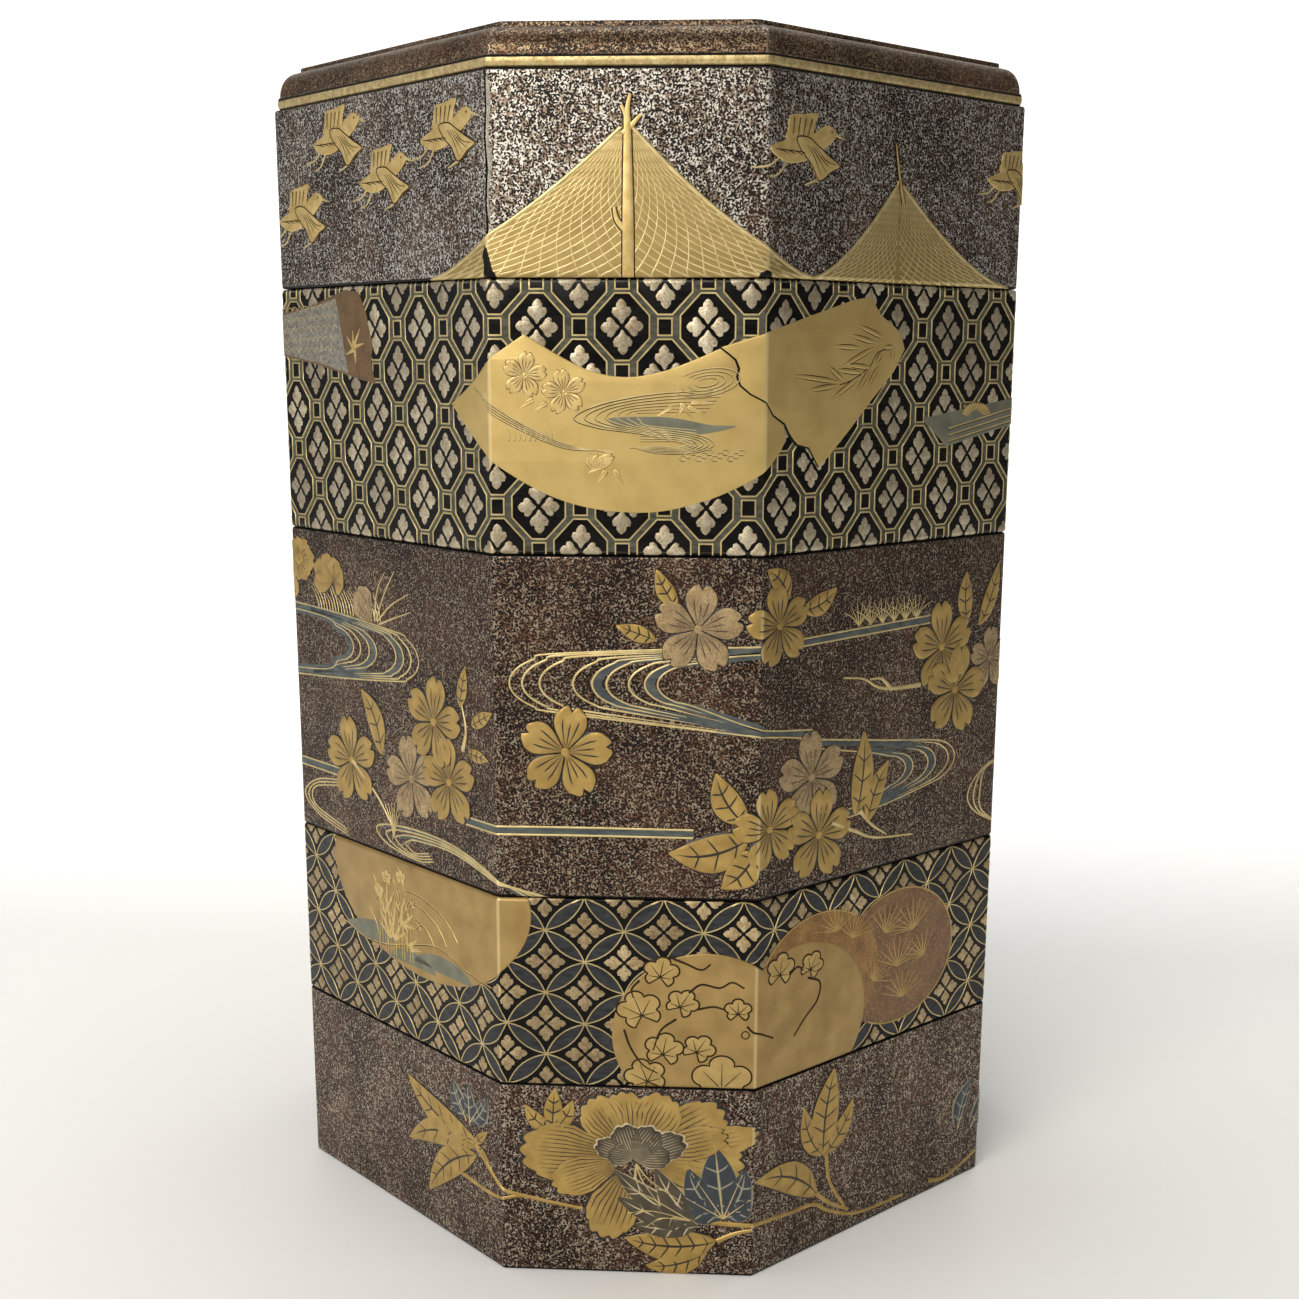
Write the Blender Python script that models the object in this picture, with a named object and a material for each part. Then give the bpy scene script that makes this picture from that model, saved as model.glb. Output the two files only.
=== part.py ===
"""Stacked food box: five octagonal lacquered boxes and a lid, each resting on the one below.

Lengths are metres, +Z is up, and the stack stands on z = 0 with its axis on Z. The plan is a square with its
corners cut off: a narrow side faces each of -Y, +X, +Y and -X, and a wide side lies between each pair. The front
is the narrow side towards -Y.

Every piece is one hollow body: a section, drawn once as points inwards from the outside wall, is carried round
the plan. A lip on the inner half of each box's wall rises into a recess under the piece above it.
"""

import math
from dataclasses import dataclass

import bmesh
import bpy

# Plan of the stack, measured over the raised lacquer
NARROW_SIDE = 0.084
WIDE_SIDE = 0.121
CORNER_RADIUS = 0.0024
CORNER_STEPS = 3

# Height of each box's outer wall
PEONY_BOX_HEIGHT = 0.067
ROUNDEL_BOX_HEIGHT = 0.064
STREAM_BOX_HEIGHT = 0.110
LATTICE_BOX_HEIGHT = 0.082
NET_BOX_HEIGHT = 0.059

# Section of a box
WALL = 0.008
FLOOR = 0.005
EDGE_ROUND = 0.0012
CAVITY_CORNER_RADIUS = 0.005
FLOOR_FILLET = 0.003
ROUND_STEPS = 2

# Lip on top of each box, and the recess that takes it
LIP_THICKNESS = 0.0035
LIP_HEIGHT = 0.0045
LIP_CHAMFER = 0.0006
LIP_CLEARANCE = 0.0005
LIP_HEADROOM = 0.0010
RECESS_CORNER_RADIUS = 0.0025
SEAT_GAP = 0.0003

# Lid: a bead at the rim, a convex shoulder, and a small step up to the flat top
LID_SETBACK = 0.0016
LID_CORNER_RADIUS = 0.0018
BEAD_HEIGHT = 0.0040
BEAD_ROUND = 0.0008
SHOULDER_RUN = 0.0062
SHOULDER_RISE = 0.0082
SHOULDER_STEPS = 6
STEP_LEDGE = 0.0006
STEP_RISE = 0.0018
STEP_ROUND = 0.0006
LID_PANEL = 0.0050

# What follows from the sizes above
DIAGONAL = math.sqrt(0.5)
NARROW_REACH = NARROW_SIDE / 2 + WIDE_SIDE * DIAGONAL
WIDE_REACH = WIDE_SIDE / 2 + NARROW_SIDE * DIAGONAL
LIP_INSET = WALL - LIP_THICKNESS
FOOT_WALL = LIP_INSET - LIP_CLEARANCE
RECESS_DEPTH = LIP_HEIGHT + LIP_HEADROOM
FLOOR_TOP = RECESS_DEPTH + FLOOR
LID_HEIGHT = BEAD_HEIGHT + SHOULDER_RISE + STEP_RISE

SIDES = 8
SIDE_TURN = 2 * math.pi / SIDES
FRONT_ANGLE = -math.pi / 2


@dataclass(frozen=True)
class Ring:
    """One point of a section: how far inside the outer wall it lies, its height, and the plan's corner radius."""

    inset: float
    height: float
    corner: float


@dataclass(frozen=True)
class Finish:
    """A lacquer's look."""

    name: str
    colour: tuple
    roughness: float
    metallic: float


SPRINKLED_LACQUER = Finish("sprinkled_gold_lacquer", (0.115, 0.083, 0.062, 1.0), 0.32, 0.15)
PATTERNED_LACQUER = Finish("black_and_gold_lacquer", (0.090, 0.080, 0.052, 1.0), 0.28, 0.25)


def clear_scene():
    """Removes whatever the file opened with."""
    for old in list(bpy.data.objects):
        bpy.data.objects.remove(old, do_unlink=True)


def material_for(finish, node_name):
    """A Principled material of this finish for one piece."""
    material = bpy.data.materials.new(f"{node_name}_{finish.name}")
    material.use_nodes = True
    shader = material.node_tree.nodes["Principled BSDF"]
    shader.inputs["Base Color"].default_value = finish.colour
    shader.inputs["Roughness"].default_value = finish.roughness
    shader.inputs["Metallic"].default_value = finish.metallic
    material.diffuse_color = finish.colour
    return material


def side_reach(side):
    """Distance from the axis to this side of the plan; even sides are the narrow ones."""
    return NARROW_REACH if side % 2 == 0 else WIDE_REACH


def corner_centre(side, pull):
    """Where this side and the next meet when both are pulled inwards: the centre of a corner's round."""
    first = FRONT_ANGLE + side * SIDE_TURN
    second = first + SIDE_TURN
    first_reach = side_reach(side) - pull
    second_reach = side_reach(side + 1) - pull
    x = (first_reach * math.sin(second) - second_reach * math.sin(first)) / math.sin(SIDE_TURN)
    y = (second_reach * math.cos(first) - first_reach * math.cos(second)) / math.sin(SIDE_TURN)
    return x, y


def plan_points(ring):
    """The rounded octagon of one ring, anticlockwise from the front side's right corner."""
    points = []
    for side in range(SIDES):
        x, y = corner_centre(side, ring.inset + ring.corner)
        for step in range(CORNER_STEPS + 1):
            angle = FRONT_ANGLE + (side + step / CORNER_STEPS) * SIDE_TURN
            points.append((x + ring.corner * math.cos(angle), y + ring.corner * math.sin(angle), ring.height))
    return points


def round_over(inset, height, across, up, start, end, steps, corner, follow_corner=False):
    """Rings along a quarter round or part of an oval about a centre, from start to end in degrees.

    Nought degrees points outwards and 90 up. With follow_corner the plan's corner radius shrinks as the ring goes
    in, so that the edge keeps the same round all the way.
    """
    rings = []
    for step in range(steps + 1):
        angle = math.radians(start + (end - start) * step / steps)
        ring_inset = inset - across * math.cos(angle)
        radius = corner - ring_inset if follow_corner else corner
        rings.append(Ring(ring_inset, height + up * math.sin(angle), radius))
    return rings


def recess_rings(base):
    """The recess under a piece, from its ceiling down to the foot."""
    return [
        Ring(FOOT_WALL, base + RECESS_DEPTH, RECESS_CORNER_RADIUS),
        Ring(FOOT_WALL, base, RECESS_CORNER_RADIUS),
    ]


def box_section(base, height):
    """Rings of a box from under its floor, round the foot, up the outside, over the lip and down to its floor."""
    top = base + height
    lip_top = top + LIP_HEIGHT
    lip_corner = RECESS_CORNER_RADIUS - LIP_CLEARANCE
    edge = EDGE_ROUND
    rings = recess_rings(base)
    rings += round_over(edge, base + edge, edge, edge, -90, 0, ROUND_STEPS, CORNER_RADIUS, True)
    rings += round_over(edge, top - edge, edge, edge, 0, 90, ROUND_STEPS, CORNER_RADIUS, True)
    rings += [
        Ring(LIP_INSET, top, lip_corner),
        Ring(LIP_INSET, lip_top - LIP_CHAMFER, lip_corner),
        Ring(LIP_INSET + LIP_CHAMFER, lip_top, lip_corner),
        Ring(WALL - LIP_CHAMFER, lip_top, CAVITY_CORNER_RADIUS),
        Ring(WALL, lip_top - LIP_CHAMFER, CAVITY_CORNER_RADIUS),
    ]
    for step in range(ROUND_STEPS + 1):
        angle = math.pi / 2 * step / ROUND_STEPS
        inwards = FLOOR_FILLET * (1 - math.cos(angle))
        above_floor = FLOOR_FILLET * (1 - math.sin(angle))
        rings.append(Ring(WALL + inwards, base + FLOOR_TOP + above_floor, CAVITY_CORNER_RADIUS - inwards))
    return rings


def lid_section(base):
    """Rings of the lid from its hollow underside, round the bead and over the shoulder to its flat top."""
    top = base + LID_HEIGHT
    bead_top = base + BEAD_HEIGHT
    shoulder_foot = LID_SETBACK + BEAD_ROUND
    shoulder_head = shoulder_foot + SHOULDER_RUN
    step_inset = shoulder_head + STEP_LEDGE
    corner = LID_CORNER_RADIUS
    rings = [
        Ring(WALL, top - LID_PANEL, CAVITY_CORNER_RADIUS),
        Ring(WALL, base + RECESS_DEPTH, CAVITY_CORNER_RADIUS),
    ]
    rings += recess_rings(base)
    rings += round_over(shoulder_foot, base + BEAD_ROUND, BEAD_ROUND, BEAD_ROUND, -90, 0, ROUND_STEPS, corner)
    rings += round_over(shoulder_foot, bead_top - BEAD_ROUND, BEAD_ROUND, BEAD_ROUND, 0, 90, ROUND_STEPS, corner)
    shoulder = round_over(shoulder_head, bead_top, SHOULDER_RUN, SHOULDER_RISE, 0, 90, SHOULDER_STEPS, corner)
    rings += shoulder[1:]
    rings.append(Ring(step_inset, bead_top + SHOULDER_RISE, corner))
    step_centre = step_inset + STEP_ROUND
    rings += round_over(step_centre, top - STEP_ROUND, STEP_ROUND, STEP_ROUND, 0, 90, ROUND_STEPS, corner)
    return rings


def solid_from_rings(name, rings, finish):
    """One closed body: neighbouring rings joined by a band of faces, and the first and last ring closed flat."""
    mesh = bpy.data.meshes.new(name)
    bm = bmesh.new()
    loops = [[bm.verts.new(point) for point in plan_points(ring)] for ring in rings]
    count = len(loops[0])
    for lower, upper in zip(loops, loops[1:]):
        for i in range(count):
            j = (i + 1) % count
            bm.faces.new((lower[i], lower[j], upper[j], upper[i]))
    bm.faces.new(loops[0])
    bm.faces.new(loops[-1])
    bmesh.ops.recalc_face_normals(bm, faces=bm.faces)
    bm.to_mesh(mesh)
    bm.free()
    piece = bpy.data.objects.new(name, mesh)
    bpy.context.scene.collection.objects.link(piece)
    mesh.materials.append(material_for(finish, name))
    mesh.shade_smooth()
    mesh.set_sharp_from_angle(angle=math.radians(30))
    return piece


def build_stack():
    """The boxes from the base up, each a seat gap above the last, and the lid on top."""
    boxes = (
        ("peony_box", PEONY_BOX_HEIGHT, SPRINKLED_LACQUER),
        ("roundel_box", ROUNDEL_BOX_HEIGHT, PATTERNED_LACQUER),
        ("stream_box", STREAM_BOX_HEIGHT, SPRINKLED_LACQUER),
        ("lattice_box", LATTICE_BOX_HEIGHT, PATTERNED_LACQUER),
        ("net_box", NET_BOX_HEIGHT, SPRINKLED_LACQUER),
    )
    base = 0.0
    for name, height, finish in boxes:
        solid_from_rings(name, box_section(base, height), finish)
        base += height + SEAT_GAP
    solid_from_rings("lid", lid_section(base), SPRINKLED_LACQUER)


clear_scene()
build_stack()
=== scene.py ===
"""Looks of the stacked food box: five octagonal lacquered boxes and a lid, in sprinkled and raised gold.

Every box is a lacquered shell with its decoration laid on it as real relief. The decoration is drawn flat,
in millimetres, and then wrapped round the box: u runs along the wall to the right, nought at the middle of
the front, v runs up it from the box's foot, and h stands out of its lacquer. The numbers in a drawing are
such places, read off the photograph, and the widths and heights of its forms.
"""

import logging
import math
from dataclasses import dataclass, field, replace
from enum import Enum
from functools import cache
from typing import Sequence

import bmesh
import bpy
import numpy as np
from mathutils import Matrix, Vector
from mathutils.geometry import tessellate_polygon


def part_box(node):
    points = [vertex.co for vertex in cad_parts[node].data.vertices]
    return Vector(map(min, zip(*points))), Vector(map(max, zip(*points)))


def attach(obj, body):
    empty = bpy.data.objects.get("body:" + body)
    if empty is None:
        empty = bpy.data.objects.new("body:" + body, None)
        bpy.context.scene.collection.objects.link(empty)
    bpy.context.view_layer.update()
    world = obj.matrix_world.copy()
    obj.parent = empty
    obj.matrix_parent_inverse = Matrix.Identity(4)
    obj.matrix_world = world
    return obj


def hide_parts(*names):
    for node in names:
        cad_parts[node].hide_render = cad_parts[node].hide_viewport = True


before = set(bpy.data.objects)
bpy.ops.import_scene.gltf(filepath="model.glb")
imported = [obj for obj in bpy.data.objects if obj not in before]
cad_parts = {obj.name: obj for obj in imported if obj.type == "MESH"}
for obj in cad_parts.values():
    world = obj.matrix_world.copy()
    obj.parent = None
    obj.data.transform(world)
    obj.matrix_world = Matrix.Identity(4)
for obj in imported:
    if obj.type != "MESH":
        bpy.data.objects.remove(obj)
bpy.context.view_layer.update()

LOG = logging.getLogger("food_box")
BODY = "root"
MM = 0.001

# How much the lacquer ground lies inside the solids' outer face, which leaves room for the raised gold
GROUND_INSET = 0.6
EDGE_ROUND = 1.2
CLIP_MARGIN = 0.2
SHARP_ANGLE = math.radians(38)

# The section that the boxes and the lid share, in millimetres
WALL = 8.0
CAVITY_CORNER = 5.0
FOOT_WALL = 4.0
RECESS_DEPTH = 5.5
RECESS_CORNER = 2.5

# From the middle of the front to the middle of the back, along the wall
OPPOSITE = 410.0

# Points of a flat drawing closer than this are one, and a cut takes points this near to its line as on it
MERGE = 0.004
CUT_TOLERANCE = 1e-4
TINY = 1e-9

# Half the width of an engraved vein, drawn a little wider than the real hairline so that it shows
VEIN_HALF = 0.42

# How far the foot of a raised form is sunk into what it lies on
SUNK = 0.03

# The seed of the patterns' small turns; their tones take one near it
PATTERN_SEED = 1

# A drawn line's painted shadow, a wider dark copy under it: how far below the line it shows, and how much
# wider than the line it is
SHADOW_SHIFT = 0.16
SHADOW_WIDTH = 1.5

Point = tuple[float, float]


class Slot(Enum):
    """The record's material slots."""

    SPRINKLED = "sprinkled_lacquer"
    PATTERNED = "patterned_lacquer"


class Mark(Enum):
    """Values that a mesh carries on its points for its finish to read."""

    LINE = "line"
    TONE = "tone"
    # Wear at the shells' edges and corners; on raised gold, nearness to a corner for a painted highlight
    WEAR_AND_HIGHLIGHT = "wear"


def linear(colour: str) -> tuple[float, float, float, float]:
    """Turns an sRGB hex colour into the linear one that shaders take.

    Args:
        colour: the colour as "#RRGGBB".

    Returns:
        Linear red, green and blue, and an alpha of one.
    """
    parts = [int(colour[place:place + 2], 16) / 255 for place in (1, 3, 5)]
    return (*(part / 12.92 if part <= 0.04045 else ((part + 0.055) / 1.055) ** 2.4 for part in parts), 1.0)


def add_node(tree: bpy.types.NodeTree, kind: str, inputs: dict | None = None,
             **settings: object) -> bpy.types.Node:
    """Adds one node with its settings, values and links.

    Args:
        tree: the shader or geometry tree.
        kind: the node's Blender type.
        inputs: a value, or another node's output socket, for each input's name or number.
        settings: properties of the node.

    Returns:
        The new node.
    """
    node = tree.nodes.new(kind)
    for name, value in settings.items():
        setattr(node, name, value)
    for key, value in (inputs or {}).items():
        if isinstance(value, bpy.types.NodeSocket):
            tree.links.new(value, node.inputs[key])
        else:
            node.inputs[key].default_value = value
    return node


def show(name: str, data: bpy.types.ID) -> bpy.types.Object:
    """Puts a mesh, curve, light or camera into the scene."""
    shown = bpy.data.objects.new(name, data)
    bpy.context.scene.collection.objects.link(shown)
    return shown


def set_mark(mesh: bpy.types.Mesh, mark: Mark, values: np.ndarray) -> None:
    """Stores a value on each point of a mesh."""
    mesh.attributes.new(mark.value, "FLOAT", "POINT").data.foreach_set("value", values)


@dataclass(frozen=True)
class Plan:
    """The octagon that every piece shares, in millimetres: sides narrow and wide by turns."""

    narrow: float = 84.0
    wide: float = 121.0
    corner: float = 2.4
    sides: int = 8
    corner_steps: int = 6
    wear_steps: tuple[float, ...] = (1.5, 4.0)

    @property
    def turn(self) -> float:
        """The angle that the wall turns at each corner."""
        return 2 * math.pi / self.sides

    @property
    def trim(self) -> float:
        """How far from a sharp corner its round begins."""
        return self.corner * math.tan(self.turn / 2)

    @property
    def lengths(self) -> np.ndarray:
        """The sides' lengths, from the front to the right."""
        return np.array([self.narrow, self.wide] * (self.sides // 2))

    @property
    def perimeter(self) -> float:
        """The way once round the sharp octagon."""
        return float(self.lengths.sum())

    @property
    def starts(self) -> np.ndarray:
        """Where each side begins along the wall, counted from the front side's left corner."""
        return np.concatenate(([0.0], np.cumsum(self.lengths)[:-1]))

    @property
    def reaches(self) -> np.ndarray:
        """The distance from the axis to each side."""
        diagonal = math.sqrt(0.5)
        near, far = self.wide / 2 + self.narrow * diagonal, self.narrow / 2 + self.wide * diagonal
        return np.array([far, near] * (self.sides // 2))

    @property
    def angles(self) -> np.ndarray:
        """The direction that each side faces."""
        return -math.pi / 2 + self.turn * np.arange(self.sides)

    def corner_centres(self, pull: float) -> np.ndarray:
        """Where each side and the next meet when both are pulled inwards.

        Args:
            pull: how far the sides are pulled in.

        Returns:
            One point for each side: the centre of the round at its far end.
        """
        first, second = self.angles, self.angles + self.turn
        near, far = self.reaches - pull, np.roll(self.reaches, -1) - pull
        x = (near * np.sin(second) - far * np.sin(first)) / math.sin(self.turn)
        y = (far * np.cos(first) - near * np.cos(second)) / math.sin(self.turn)
        return np.stack([x, y], axis=1)

    def ring(self, inset: float, corner: float, height: float) -> tuple[np.ndarray, np.ndarray]:
        """One turn round the octagon, with extra points beside each corner for the wear.

        Args:
            inset: how far inside the outer wall the ring lies.
            corner: the radius of its corners.
            height: its height.

        Returns:
            The ring's points, and how near each is to a corner, from nought to one.
        """
        points, near = [], []
        centres = self.corner_centres(inset + corner)
        for side in range(self.sides):
            for step in range(-len(self.wear_steps), self.corner_steps + len(self.wear_steps) + 1):
                over = min(max(step, 0), self.corner_steps)
                angle = self.angles[side] + self.turn * over / self.corner_steps
                beyond = step - over
                shift = math.copysign(self.wear_steps[abs(beyond) - 1], beyond) if beyond else 0.0
                x = centres[side][0] + corner * math.cos(angle) - shift * math.sin(angle)
                y = centres[side][1] + corner * math.sin(angle) + shift * math.cos(angle)
                points.append((x, y, height))
                near.append(1.0 - abs(beyond) / len(self.wear_steps))
        return np.array(points), np.array(near)


@dataclass(frozen=True)
class Wall:
    """One box's outer wall, which takes flat drawings. Its base is a height in the frame, in millimetres."""

    plan: Plan
    base: float
    height: float

    def corners(self, low: float, high: float) -> list[float]:
        """The places along the wall where it turns, between two places."""
        ends = self.plan.starts - self.plan.narrow / 2
        turns = range(math.floor(low / self.plan.perimeter) - 1, math.ceil(high / self.plan.perimeter) + 2)
        places = [float(end) + turn * self.plan.perimeter for turn in turns for end in ends]
        return [place for place in places if low - self.plan.trim < place < high + self.plan.trim]

    def wrap(self, flat: np.ndarray) -> np.ndarray:
        """Carries flat points onto the wall.

        Args:
            flat: rows of u, v and h in millimetres.

        Returns:
            Rows of x, y and z in metres.
        """
        plan = self.plan
        along, up, out = flat[:, 0], flat[:, 1], flat[:, 2]
        u = (along + plan.narrow / 2) % plan.perimeter
        side = np.searchsorted(plan.starts, u, side="right") - 1
        x = u - plan.starts[side]
        length, angle = plan.lengths[side], plan.angles[side]
        middle = (plan.reaches - plan.corner)[side]
        centre_x = middle * np.cos(angle) - (x - length / 2) * np.sin(angle)
        centre_y = middle * np.sin(angle) + (x - length / 2) * np.cos(angle)
        centres = plan.corner_centres(plan.corner)
        at_start, at_end = x < plan.trim, x > length - plan.trim
        before = centres[(side - 1) % plan.sides]
        centre_x = np.where(at_start, before[:, 0], np.where(at_end, centres[side][:, 0], centre_x))
        centre_y = np.where(at_start, before[:, 1], np.where(at_end, centres[side][:, 1], centre_y))
        bend = np.where(at_start, x / plan.trim - 1, np.where(at_end, 1 - (length - x) / plan.trim, 0.0))
        angle = angle + bend * plan.turn / 2
        edge = np.clip(np.minimum(up, self.height - up) / EDGE_ROUND, 0.0, 1.0)
        slope = (1 - edge) * math.pi / 2
        lift = (EDGE_ROUND - GROUND_INSET + out) * np.cos(slope) - EDGE_ROUND
        round_z = EDGE_ROUND * (1 - np.sin(slope))
        z = np.where(edge < 1, np.where(up < self.height / 2, round_z, self.height - round_z), up)
        reach = plan.corner + lift
        x, y = centre_x + reach * np.cos(angle), centre_y + reach * np.sin(angle)
        return np.stack([x, y, self.base + z], 1) * MM

    def lay(self, mesh: bpy.types.Mesh) -> None:
        """Cuts a flat mesh where the wall ends, adds points where it turns, wraps it round the box, and
        marks each point's nearness to a corner for a painted highlight.
        """
        bm = bmesh.new()
        bm.from_mesh(mesh)
        bmesh.ops.remove_doubles(bm, verts=bm.verts, dist=MERGE)
        span = [vertex.co.x for vertex in bm.verts]
        trim, top = self.plan.trim, self.height
        for place, clear in ((CLIP_MARGIN, -1), (top - CLIP_MARGIN, 1)):
            outside = [face for face in bm.faces
                       if any((vert.co.y - place) * clear > 0 for vert in face.verts)]
            self.cut(bm, outside, 1, [place], clear)
        zones = [(1, [EDGE_ROUND / 2, EDGE_ROUND]), (1, [top - EDGE_ROUND, top - EDGE_ROUND / 2])]
        shares = (-1.0, -0.5, 0.0, 0.5, 1.0)
        zones += [(0, [place + trim * share for share in shares])
                  for place in self.corners(min(span), max(span))]
        for axis, places in zones:
            near = [face for face in bm.faces if min(vert.co[axis] for vert in face.verts) < places[-1]
                    and max(vert.co[axis] for vert in face.verts) > places[0]]
            self.cut(bm, near, axis, places)
        bm.to_mesh(mesh)
        bm.free()
        flat = np.empty(len(mesh.vertices) * 3)
        mesh.vertices.foreach_get("co", flat)
        flat = flat.reshape(-1, 3)
        mesh.vertices.foreach_set("co", self.wrap(flat).ravel())
        # Nearness to a corner, which the gold finishes paint as a highlight
        along = (flat[:, 0] + self.plan.narrow / 2) % self.plan.perimeter
        gap = np.abs(along[:, None] - np.append(self.plan.starts, self.plan.perimeter)).min(1)
        set_mark(mesh, Mark.WEAR_AND_HIGHLIGHT, np.clip(1 - gap / trim, 0, 1))
        mesh.update()

    @staticmethod
    def cut(bm: bmesh.types.BMesh, faces: list, axis: int, places: Sequence[float], clear: int = 0) -> None:
        """Cuts some faces along lines.

        Args:
            bm: the flat mesh.
            faces: the faces near the lines.
            axis: nought for lines up the wall and one for lines along it.
            places: where the lines are.
            clear: one drops what lies beyond a line, minus one what lies before it.
        """
        if not faces:
            return
        normal = Vector((1.0, 0.0, 0.0)) if axis == 0 else Vector((0.0, 1.0, 0.0))
        geometry = list({part for face in faces for part in (face, *face.edges, *face.verts)})
        for place in places:
            result = bmesh.ops.bisect_plane(bm, geom=geometry, dist=CUT_TOLERANCE, plane_co=normal * place,
                                            plane_no=normal, clear_inner=clear < 0, clear_outer=clear > 0)
            geometry = [part for part in result["geom"] if part.is_valid]


def smooth_path(points: Sequence[Point], step: float = 1.5, closed: bool = False) -> np.ndarray:
    """A smooth curve through a few points.

    Args:
        points: what the curve passes through.
        step: about how far apart its own points lie.
        closed: whether it returns to its start.

    Returns:
        The curve's points, without a repeat of the first one if it is closed.
    """
    given = np.array(points, float)
    count = len(given)
    if count < 3 and not closed:
        steps = max(2, int(np.linalg.norm(given[-1] - given[0]) / step) + 1)
        return np.linspace(given[0], given[-1], steps)
    ring = np.vstack([given[-1], given, given[:2]]) if closed else np.vstack(
        [2 * given[0] - given[1], given, 2 * given[-1] - given[-2]])
    path = []
    for i in range(1, count + 1 if closed else count):
        before, start, end, after = ring[i - 1:i + 3]
        steps = max(2, int(np.linalg.norm(end - start) / step) + 1)
        share = (np.arange(steps) / steps)[:, None]
        path.append(0.5 * (2 * start + (end - before) * share
                           + (2 * before - 5 * start + 4 * end - after) * share ** 2
                           + (3 * start - before - 3 * end + after) * share ** 3))
    if not closed:
        path.append(given[-1:])
    return np.vstack(path)


def oval_path(centre: Point, across: float, up: float, start: float = 0.0, sweep: float = 360.0,
              tilt: float = 0.0, step: float = 1.5) -> np.ndarray:
    """Points round an oval or part of one, in degrees; a whole one doesn't repeat its first point."""
    count = max(8, int(math.radians(abs(sweep)) * max(across, up) / step))
    angles = np.radians(start + sweep * np.arange(count + (abs(sweep) < 360)) / count)
    x, y = across * np.cos(angles), up * np.sin(angles)
    lean = math.radians(tilt)
    return np.stack([centre[0] + x * math.cos(lean) - y * math.sin(lean),
                     centre[1] + x * math.sin(lean) + y * math.cos(lean)], 1)


def sideways(path: np.ndarray, closed: bool = False) -> np.ndarray:
    """The direction to the left of a path at each point, long enough to keep an even width in a bend."""
    ahead, back = np.roll(path, -1, 0) - path, path - np.roll(path, 1, 0)
    if not closed:
        ahead[-1], back[0] = back[-1], ahead[0]
    ahead /= np.linalg.norm(ahead, axis=1, keepdims=True) + TINY
    back /= np.linalg.norm(back, axis=1, keepdims=True) + TINY
    along = ahead + back
    along /= np.linalg.norm(along, axis=1, keepdims=True) + TINY
    widen = 1 / np.maximum((along * ahead).sum(1, keepdims=True), 0.5)
    return np.stack([-along[:, 1], along[:, 0]], 1) * widen


def raised(path: np.ndarray, height: float) -> np.ndarray:
    """A flat path as rows of u, v and h, all at one height."""
    return np.column_stack([path, np.full(len(path), height)])


def around(centre: Point, degrees: float, across: float, up: float) -> Point:
    """The place on an oval round a centre in one direction."""
    angle = math.radians(degrees)
    return centre[0] + across * math.cos(angle), centre[1] + up * math.sin(angle)


def beside(start: np.ndarray, end: np.ndarray, share: np.ndarray, off: np.ndarray) -> np.ndarray:
    """Places at shares of the way from start to end, each moved off to its left."""
    left = np.array([start[1] - end[1], end[0] - start[0]]) / np.linalg.norm(end - start)
    return start + share[..., None] * (end - start) + off[..., None] * left


def twice_area(outline: np.ndarray) -> float:
    """Twice a closed outline's area, positive if it runs anticlockwise."""
    following = np.roll(outline, -1, 0)
    return float((outline[:, 0] * following[:, 1] - following[:, 0] * outline[:, 1]).sum())


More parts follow.
